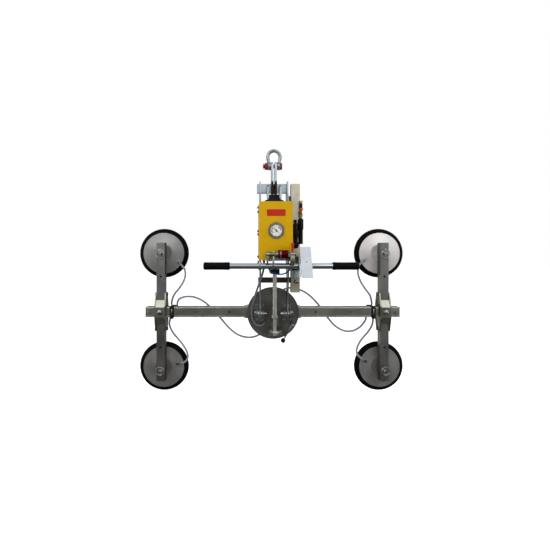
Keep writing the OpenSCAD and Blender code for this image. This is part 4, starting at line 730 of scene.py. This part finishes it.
bm = bmesh.new()
foot, head = (PANEL_Y - (PANEL_Z - z) * math.tan(PANEL_LEAN) for z in (262, 306))
for low, high, outline in (
        (-90, -82, [(-110, 313), (-110, 262), (-289, 262), (-297, 270), (-297, 306), (-286, 309), (-275, 313)]),
        (115, 123, [(-110, 334), (-110, 302), (-192, 296), (-253, 262), (foot, 262), (head, 306), (-285, 334)]),
        (-20, -12, [(-303, 284), (-299, 274), (-274, 274), (-270, 284), (-270, 359), (-303, 359)])):
    slab(bm, outline, low, high, "x")
for x, y, z in ((-90, -128, 300), (-90, -165, 276), (115, -128, 322), (115, -165, 322)):
    hexagon(bm, (x - 4.5, y, z), (x, y, z), 13)
finished("handlebar_brackets", bm, "housing", [bar_zinc])

grip_rubber = moulded("grip_rubber", "#0b0b0c", "#070708", 0.45, spec=0.05)
bm = bmesh.new()
grip = [(0, 0), (12, 0), (16.5, 1), (19.2, 3.5), (20.3, 8), (20.1, 22), (19.7, 60), (19.8, 112), (20.5, 124),
        (20.5, 131), (19.3, 136), (17.2, 138), (15.1, 138), (15.1, 8.2), (0, 8.2)]
for start, way in ((-380, 1), (431, -1)):
    turned(bm, grip, (start, BAR_Y, BAR_Z), (way, 0, 0), 48)
finished("rubber_grips", bm, "housing", [grip_rubber], ["grips"])

# Slanted plate ----------------------------------------------------
# A bare plate of light painted sheet, its long edges folded back, screwed to the right bracket so that it
# leans towards the operator's knees. A small dark screw sits in its middle.
# Stoved enamel, a cool pale grey, satin and very even.
pale_enamel = lacquer("pale_grey_enamel", "#cbd0d3", "#bfc5c9", 0.4, patch=0.05, edge=0.0008)
bm = bmesh.new()
slab(bm, [(0, -182), (57, -182), (57, 0), (0, 0)], -3, 0, "y", edge=0.5)
for x in (0, 54):
    slab(bm, [(x, -174), (x + 3, -174), (x + 3, 0), (x, 0)], -1, 12, "y", edge=0.5)
turned(bm, [(0, 0), (3.2, 0), (3.2, 0.4), (0, 0.4)], (28.5, -3, -91), FRONT, 24, mat=1)
bmesh.ops.transform(bm, matrix=Matrix.Translation((123, PANEL_Y, PANEL_Z)) @ Matrix.Rotation(-PANEL_LEAN, 4, "X"),
                    verts=bm.verts)
finished("slanted_plate_folded", bm, "housing", [pale_enamel, black_oxide], ["slanted_plate"])

# Guide block and stay rod -----------------------------------------
# The black nylon guide block is bolted to the rear cross bar, and the stay rod slides in its long slot. The
# rod is 23 mm steel, its zinc plating gone dull, with a lock nut and an eye for the disc's bolt.
# Machined nylon is black with a silky sheen. Fresh zinc plate on the bolts is bright and neutral.
nylon = moulded("black_nylon_block", "#17181a", "#0e0f10", 0.42, spec=0.2, edge=0.0015)
dressed(nylon, "guide_block")
bright_zinc = metal("bright_zinc_plate", "#cccdc9", "#a8aaa7", 0.2, 0.06, edge=0.001)
dressed(bright_zinc, "tilt_bolts", "end_stops")
rod_zinc = metal("dull_zinc_rod", "#c3c1ba", "#a3a19a", 0.26, 0.06, metallic=0.62, edge=0.001)
dressed(rod_zinc, "stay_rod")

# Disc and slewing ring --------------------------------------------
# A 10 mm steel disc, zinc plated and passivated dark, turns the cross frame. Two lug pairs on its face take the
# tilt bolts, and a pair below takes the stay rod. Its slewing ring lies behind it, on the frame's sleeve.
# The disc's passivation is a dull warm grey, and the lugs' zinc is a little paler.
dark_zinc = metal("dark_passivated_zinc", "#83827b", "#6b6960", 0.36, 0.1, metallic=0.9, edge=0.0012)
lug_zinc = metal("lug_zinc_plate", "#94918a", "#6f6c65", 0.34, 0.05, metallic=0.8, edge=0.0015)
dressed(dark_zinc, "disc", "outer_ring")
dressed(lug_zinc, "tilt_brackets")

# Chrome plate is a clear mirror, only slightly blurred.
chrome = metal("chrome_plate", "#b4b6b8", "#9a9c9e", 0.12, 0.04, bump=0.01)
bm = bmesh.new()
turned(bm, [(4.1, 0), (9, 0), (9, 5.3), (14.6, 5.3), (16, 6.6), (16, 9), (14.8, 10.5), (16, 12), (16, 21),
            (14, 23.6), (9, 24), (7, 23), (4.1, 23)], (115, -30.3, -60), FRONT, 40, closed=True)
end, hub = Vector((58, -44, -159)), Vector((115, -44, -60))
rod(bm, hub, end, 9)
turned(bm, [(0, 0), (7, 0), (8.5, 1.2), (8.5, 5), (7, 6), (0, 6)], hub + (end - hub).normalized() * 14, end - hub,
       32)
ball(bm, end, 14, 1)
finished("lock_lever_with_ball", bm, "lock", [chrome, black_moulding], ["lock_lever"])

# Cross frame ------------------------------------------------------
# One long 60 mm square tube runs through the welded centre sleeve. Both are zinc plated and passivated to an
# olive grey, which shows warm on the tube's rounded corners, and the upper corners carry a pale painted highlight.
# Bright bolts at both ends stop the clamps.
olive_zinc = metal("olive_passivated_zinc", "#ada99d", "#96948a", 0.32, 0.14, metallic=0.95, edge=0.011,
                   holes=("Z", 0.923, 0.016), top="#e3e5e1")
# The arms are passivated to a plainer grey, and their corners are tighter than the beam's.
arm_zinc = metal("grey_passivated_zinc", "#94948e", "#80817c", 0.32, 0.12, metallic=0.95, edge=0.007,
                 holes=("X", 0.670, 0.012))
dressed(olive_zinc, "centre_sleeve", "beam")

# Sliding clamps and arms ------------------------------------------
# Each clamp is folded and welded from 8 mm plate, light zinc plated, and slides along the beam. It carries
# two 50 mm square arms, bolted between its cheeks. A bolt in front pinches the beam.
clamp_zinc = metal("clamp_zinc_plate", "#a09d90", "#86847a", 0.26, 0.08, metallic=0.95, edge=0.0015)
dressed(clamp_zinc, "clamp_left", "clamp_right")
dressed(arm_zinc, "arms_left", "arms_right")
for name, body, x in (("left", "column_left", -670), ("right", "column_right", 670)):
    bm = bmesh.new()
    hexagon(bm, (x, -27.6, 0), (x, -18, 0), 26.6)
    turned(bm, [(13, 0), (17, 0), (17, 1.6), (13, 1.6)], (x, -17, 0), FRONT, 32, closed=True)
    finished("clamp_screw_" + name, bm, body, [bright_zinc])

# Hose distributors ------------------------------------------------
# An aluminium block behind the centre sleeve splits the vacuum to the left and the right. On each side a
# smaller grey nylon block, held by a strap, splits it again for two pads. Their hose tails are nickel plated.
TAIL_Y = 86
# Grey nylon is matt. Blasted and anodised aluminium is pale and satin, with a fine grain.
grey_nylon = moulded("grey_nylon", "#8f908d", "#7b7c79", 0.5)
satin_aluminium = metal("satin_anodised_aluminium", "#b0b1b0", "#8c8d8c", 0.36, 0.02, bump=0.08, edge=0.0008)


def tail(bm, x, start, end):
    """A hose tail of the second material with its hexagon, which ends inside the hose's mouth."""
    way = 1 if end > start else -1
    hexagon(bm, (x, TAIL_Y, start), (x, TAIL_Y, start + 5 * way), 14, 1)
    rod(bm, (x, TAIL_Y, start - 6 * way), (x, TAIL_Y, end), 8, 1)


bm = bmesh.new()
box(bm, (-32, 32), (65.2, 96), (-20, 20), edge=1.5, segments=3)
tail(bm, -22, -20, -38)
tail(bm, 22, 20, 38)
for x, z in ((-24, 12), (24, -12)):
    rod(bm, (x, 94, z), (x, 99, z), 9, 1, 0.5, 24)
finished("centre_distributor_block", bm, "rotor", [satin_aluminium, nickel], ["hose_distributor"])

# Straps -----------------------------------------------------------
# A 25 mm black nylon web is pulled tight round the beam and the side's distributor, and its cut end hangs
# free below. Its twill shows as ribs across the web, drawn 5 mm apart and so coarser than it is, to be seen.
def ribbed(name, light, dark, across, wave, depth, high, rough, spec):
    """A woven or braided skin: ribs in two tones that stand a little proud. Across gives the place on it."""
    made = emptied(bpy.data.materials.new(name))
    ribs = shade(made, "TexWave", {"Vector": across(made), **wave}, bands_direction="DIAGONAL")
    tone = shade(made, "ValToRGB", [ribs])
    for step, code in zip(tone.color_ramp.elements, (dark, light)):
        step.color = linear(code)
    relief = shade(made, "Bump", {"Strength": depth, "Distance": high, "Height": ribs})
    skin = shade(made, "BsdfPrincipled", {"Roughness": rough, "Specular IOR Level": spec, "Base Color": tone,
                                          "Normal": relief})
    shade(made, "OutputMaterial", [skin])
    return made


STRAP_X = 602
web = ribbed("black_nylon_web", "#1a1a1d", "#0a0a0b", lambda made: shade(made, "TexCoord").outputs["Object"],
             {"Scale": 130.0, "Distortion": 0.4}, 0.6, 0.0004, 0.7, 0.1)
for name, side in (("left", -1), ("right", 1)):
    x, body = side * STRAP_X, "column_" + name
    bm = bmesh.new()
    slab(bm, [(-2.3, -32.3), (98.3, -32.3), (98.3, 32.3), (-2.3, 32.3)], x - 12.5, x + 12.5, "x", edge=0)
    folded(bm, [face for face in bm.faces if abs(face.normal.x) > 0.9], Vector(UP), 3, 1.8)
    box(bm, (x - 3, x + 3), (-4.6, -2.2), (-19, 19), mat=1, edge=0.6)
    box(bm, (x - 11, x + 11), (-2.2, -0.8), (-40, -31), edge=0.3)
    finished("strap_web_" + name, bm, body, [web, bright_zinc], ["strap_" + name])
    bm = bmesh.new()
    box(bm, sorted((x - side * 21.5, x + side * 32)), (60.5, 96), (-18, 18), edge=1.5, segments=3)
    for away, way, end in ((18, 1, 34), (26, -1, 34), (-17.5, -side, 34)):
        tail(bm, x + side * away, 18 * way, end * way)
    finished("side_distributor_" + name, bm, body, [grey_nylon, nickel])

# Pad stems and linch pins -----------------------------------------
# Each pad hangs on a turned 22 mm stem that passes through its arm and ends in a flattened eye. In front a
# linch pin with a spring ring keeps it, and all of it is bright zinc plated.
PAD_X, PAD_Z, STEM_Y = 670, 352, 78


def arc(z, r, start, end, steps):
    """Points of an arc round a stem's pivot, in the plane of depth and height."""
    ways = (math.radians(start + (end - start) * k / steps) for k in range(steps + 1))
    return [(STEM_Y + r * math.cos(a), z + r * math.sin(a)) for a in ways]


for name, side in (("left", -1), ("right", 1)):
    bm = bmesh.new()
    for height in (-1, 1):
        x, z = side * PAD_X, height * PAD_Z
        turned(bm, [(0, 0), (9.5, 0), (11, 1.5), (11, 17), (16, 17.3), (16, 21.7), (11, 22), (11, 72.3),
                    (17, 72.3), (17, 79), (16, 80), (11, 80.5), (11, 84), (0, 84)], (x, -17, z), BACK, 40)
        eye = arc(z, 10, -70, 70, 12)
        slab(bm, [(62, z - 10)] + eye + [(62, z + 10)], x - 10, x + 10, "x", edge=1)
        rod(bm, (x, -7, z - 20 * height), (x, -7, z + 20 * height), 8)
        rod(bm, (x, -7, z + 20 * height), (x, -7, z + 27 * height), 13, edge=1.5)
        rod(bm, (x, -14, z + 20 * height), (x, -7, z + 20 * height), 5)
        lean = math.radians({(-1, 1): 14, (-1, -1): -9, (1, 1): -22, (1, -1): 11}[(side, height)])
        ring = [(math.sin(a), math.cos(a)) for a in (math.tau * k / 40 for k in range(41))]
        swept(bm, [(x + 24 * s * math.cos(lean), 6 * s * math.sin(lean) - 14, z + (24 * c - 4) * height)
                   for s, c in ring], 3.8, 12)
    finished("pad_stems_and_linch_pins_" + name, bm, "column_" + name, [bright_zinc], ["pad_stems_" + name])

# Suction pads -----------------------------------------------------
# A 6 mm cast aluminium back plate, blasted to a mottled pale grey, carries the pivot ears, a pin and the hose
# elbow. Behind it a moulded black rubber seal, its bead rolled over the plate's rim, takes hold of the glass.
# Its inner face has rings that keep the glass off it, and a plated screen over the mouth of the hose.
SEAL = [(0, 0), (131.3, 0), (131.3, -6.1), (127.4, -6.1), (126.6, -6.9), (127.4, -7.7), (132, -7.7), (135, -5.6),
        (136.5, 0.4), (142, 2.4), (144.5, 4), (150, 9), (152, 12), (152.5, 15), (152.5, 18), (151, 20), (141, 19.6),
        (129, 19.8), (128, 18), (126, 16.4), (122, 16)]
SEAL += [(ring + step, height) for ring in (115, 77, 50, 23)
         for step, height in ((2.4, 16), (1.2, 18), (-1.2, 18), (-2.4, 16))] + [(0, 16)]
# The rubber is a dull black. Fine dust from the glass greys the face within its bead.
seal_rubber = moulded("moulded_seal_rubber", "#090909", "#060606", 0.5, spec=0.04)
dusty_rubber = moulded("glass_dust_on_rubber", "#37383a", "#232425", 0.55, grain=0.002, spec=0.2)
# Each pad's plate has its own pair of tones: the upper right is painted lightest and the lower two darkest, painted
# light and shade on one blasted aluminium.
for name, side, height, elbow, mouth, tones in (
        ("ul", -1, 1, (90, -51), (-566, 286), ("#a19f9c", "#8d8b88")),
        ("bl", -1, -1, (89, 22), (-561, -325), ("#93908c", "#817e7a")),
        ("ur", 1, 1, (-95, -38), (560, 301), ("#e6e0dd", "#d6d1ce")),
        ("br", 1, -1, (-94, 39), (560, -301), ("#93908c", "#817e7a"))):
    x, z = side * PAD_X, height * PAD_Z
    cast = metal("blasted_cast_aluminium_" + name, *tones, 0.42, 0.09, metallic=0.6, grit=0.0014)
    bm = bmesh.new()
    turned(bm, [(0, 0), (46, 0), (48, -0.8), (58, -0.8), (60, 0), (126, 0), (130, 1), (131, 2.5), (131, 5),
                (130, 6), (0, 6)], (x, 90, z), BACK, 96)
    for wing in (-1, 1):
        ear = arc(z, 11, 90, 270, 16) + [(90.5, z - 11), (90.5, z + 11)]
        slab(bm, ear, *sorted((x + wing * 10.3, x + wing * 18.3)), "x")
    rod(bm, (x - 18.3, STEM_Y, z), (x + 18.3, STEM_Y, z), 9.8, 1, 0.4)
    at = Vector((x + elbow[0], STEM_Y, z + elbow[1]))
    way = Vector((mouth[0], STEM_Y, mouth[1])) - at
    long = way.length
    way.normalize()
    turned(bm, [(0, 0), (11, 0), (11, 7), (9, 8), (9, 12.5), (10.5, 14), (10.5, 21), (0, 21)],
           (at.x, 90.3, at.z), FRONT, 6, mat=1)
    rod(bm, at, at + way * (long - 0.6), 8, 1)
    hexagon(bm, at + way * 8, at + way * min(14, long - 3), 15, 1)
    finished("pad_back_plate_" + name, bm, "pad_" + name, [cast, bright_zinc], ["pad_plate_" + name])
    bm = bmesh.new()
    turned(bm, SEAL, (x, 96, z), BACK, 96)
    for face in bm.faces:
        middle = face.calc_center_median()
        if middle.y > 111 and math.hypot(middle.x - x, middle.z - z) < 126:
            face.material_index = 1
    turned(bm, [(0, 0), (10.5, 0), (10.5, 1.6), (9.5, 2.4), (7.5, 2.4), (7, 1.8), (2, 1.8), (1.4, 1.2), (0, 1.2)],
           (at.x, 111.2, at.z), BACK, 32, mat=2)
    finished("pad_lip_seal_" + name, bm, "pad_" + name, [seal_rubber, dusty_rubber, bright_zinc],
             ["pad_seal_" + name])

# Vacuum hoses -----------------------------------------------------
# Clear hose with a grey braid inside feeds the pads, 12 mm across. Its braid shows as ribs, drawn 6 mm apart
# and so coarser than they are, to be seen. Small blue polyurethane hoses, nearly smooth, join the gauge,
# the valve row and the filter in front.
def braided(name, light, dark, ribs, depth):
    """Hose wall with a number of ribs over its whole length: u runs along a curve, v round it."""
    def along(made):
        turn = math.tau / 10                        # the length of one band of the wave texture
        return shade(made, "Mapping", {"Vector": shade(made, "TexCoord").outputs["UV"],
                                       "Scale": (ribs * turn, 2 * turn, 1.0)})

    return ribbed(name, light, dark, along, {"Scale": 1.0}, depth, 0.0005, 0.55, 0.15)


def hose(name, body, route, d, material, nodes=()):
    """A hose as a curve of one open spline along its route."""
    line = bpy.data.curves.new(name, "CURVE")
    line.dimensions, line.use_fill_caps = "3D", True
    line.bevel_depth, line.bevel_resolution, line.resolution_u = d / 2000, 4, 8
    bend = line.splines.new("BEZIER")
    bend.bezier_points.add(len(route) - 1)
    places = [DRAWN @ Vector(p) for p in route]
    for i, (point, place) in enumerate(zip(bend.bezier_points, places)):
        before, after = places[max(i - 1, 0)], places[min(i + 1, len(places) - 1)]
        way = (after - before).normalized()
        point.co = place
        point.handle_left_type = point.handle_right_type = "FREE"
        point.handle_left = place - way * (place - before).length / 3
        point.handle_right = place + way * (after - place).length / 3
    line.materials.append(material)
    piece = placed(name, line)
    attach(piece, body)
    if nodes:
        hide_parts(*nodes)


pad_braid = braided("pad_hose_braid", "#9da3aa", "#5f666e", 52.0, 0.3)
main_braid = braided("main_hose_braid", "#9da3aa", "#5f666e", 128.0, 0.3)
supply_braid = braided("supply_hose_braid", "#757b83", "#484e56", 78.0, 0.3)
blue_pu = braided("blue_polyurethane_hose", "#2b74c8", "#2465b4", 6.0, 0.02)
# The gauge's hose runs under the cover behind the valve row, and its blue is painted a dark navy there as painted
# shade.
shaded_blue_pu = braided("blue_polyurethane_hose_painted_shade", "#1a3a80", "#14306e", 20.0, 0.02)

hose("pad_hose_ul", "column_left", [
    (-620, 86, 34.3), (-620, 86, 50), (-606, 84, 92), (-575, 81, 132), (-546, 78, 176), (-534, 78, 218),
    (-538, 78, 250), (-551, 78, 270), (-566, 78, 286)], 12, pad_braid, ["pad_hoses_left"])
hose("pad_hose_bl", "column_left", [
    (-628, 86, -34.3), (-629, 86, -50), (-634, 88, -92), (-614, 88, -138), (-580, 85, -179), (-545, 82, -222),
    (-522, 78, -264), (-520, 78, -296), (-537, 78, -319), (-561, 78, -325)], 12, pad_braid)
hose("pad_hose_ur", "column_right", [
    (620, 86, 34.3), (620, 86, 50), (609, 84, 90), (580, 81, 130), (552, 78, 172), (535, 78, 216),
    (533, 78, 252), (543, 78, 281), (560, 78, 301)], 12, pad_braid, ["pad_hoses_right"])
hose("pad_hose_br", "column_right", [
    (628, 86, -34.3), (629, 86, -50), (623, 88, -94), (596, 87, -138), (560, 84, -178), (533, 80, -220),
    (524, 78, -260), (538, 78, -284), (560, 78, -301)], 12, pad_braid)
hose("main_vacuum_hose_left", "column_left", [
    (-584.5, 86, 34.3), (-584.5, 86, 46), (-574, 85, 67), (-550, 83, 79), (-524, 80, 84), (-478, 76, 81),
    (-424, 74, 57), (-374, 74, 15), (-318, 74, -46), (-262, 74, -110), (-206, 75, -152), (-140, 76, -168),
    (-82, 80, -154), (-40, 85, -118), (-22, 86, -68), (-22, 86, -38.3)], 12, main_braid, ["main_hose_left"])
hose("main_vacuum_hose_right", "column_right", [
    (22, 86, 38.3), (24, 86, 66), (42, 83, 103), (82, 78, 132), (130, 75, 138), (180, 74, 124), (232, 74, 92),
    (285, 74, 38), (338, 74, -36), (388, 74, -94), (444, 76, -126), (500, 79, -128), (547, 83, -104),
    (581, 86, -64), (584.5, 86, -44), (584.5, 86, -34.3)], 12, main_braid, ["main_hose_right"])
hose("vacuum_supply_hose", "housing", [
    (-58, -140, 305.7), (-58, -140, 290), (-61, -148, 260), (-70, -158, 228), (-82, -158, 194), (-94, -144, 156),
    (-106, -120, 116), (-116, -92, 76), (-123, -66, 34), (-125, -49, -8), (-114, -46, -47), (-92, -46, -69),
    (-67, -46, -70), (-53, -46, -59)], 12, supply_braid, ["supply_hose"])
hose("air_hose_side", "housing", [(x, SIDE_Y, z) for x, z in (
    (111, 534.5), (106, 533.6), (100.5, 526), (99.2, 503), (97.6, 491), (93.3, 489))],
    8, blue_pu, ["air_hoses"])
hose("air_hose_front", "housing", [low_row(x) for x in (-7.7, 20, 47.7)], 8, blue_pu)
hose("air_hose_gauge", "housing", [
    (-20.3, -212, 470), (-34, -214, 464), (-44, -224, 440), (-46, -236, 370), (-45, -240, 306), (-34, -240, 262),
    (-4, -240, 243), (36, -240, 240), (68, -241, 256), (82, -245, 284), (82, -246, 295.7)], 8, shaded_blue_pu)
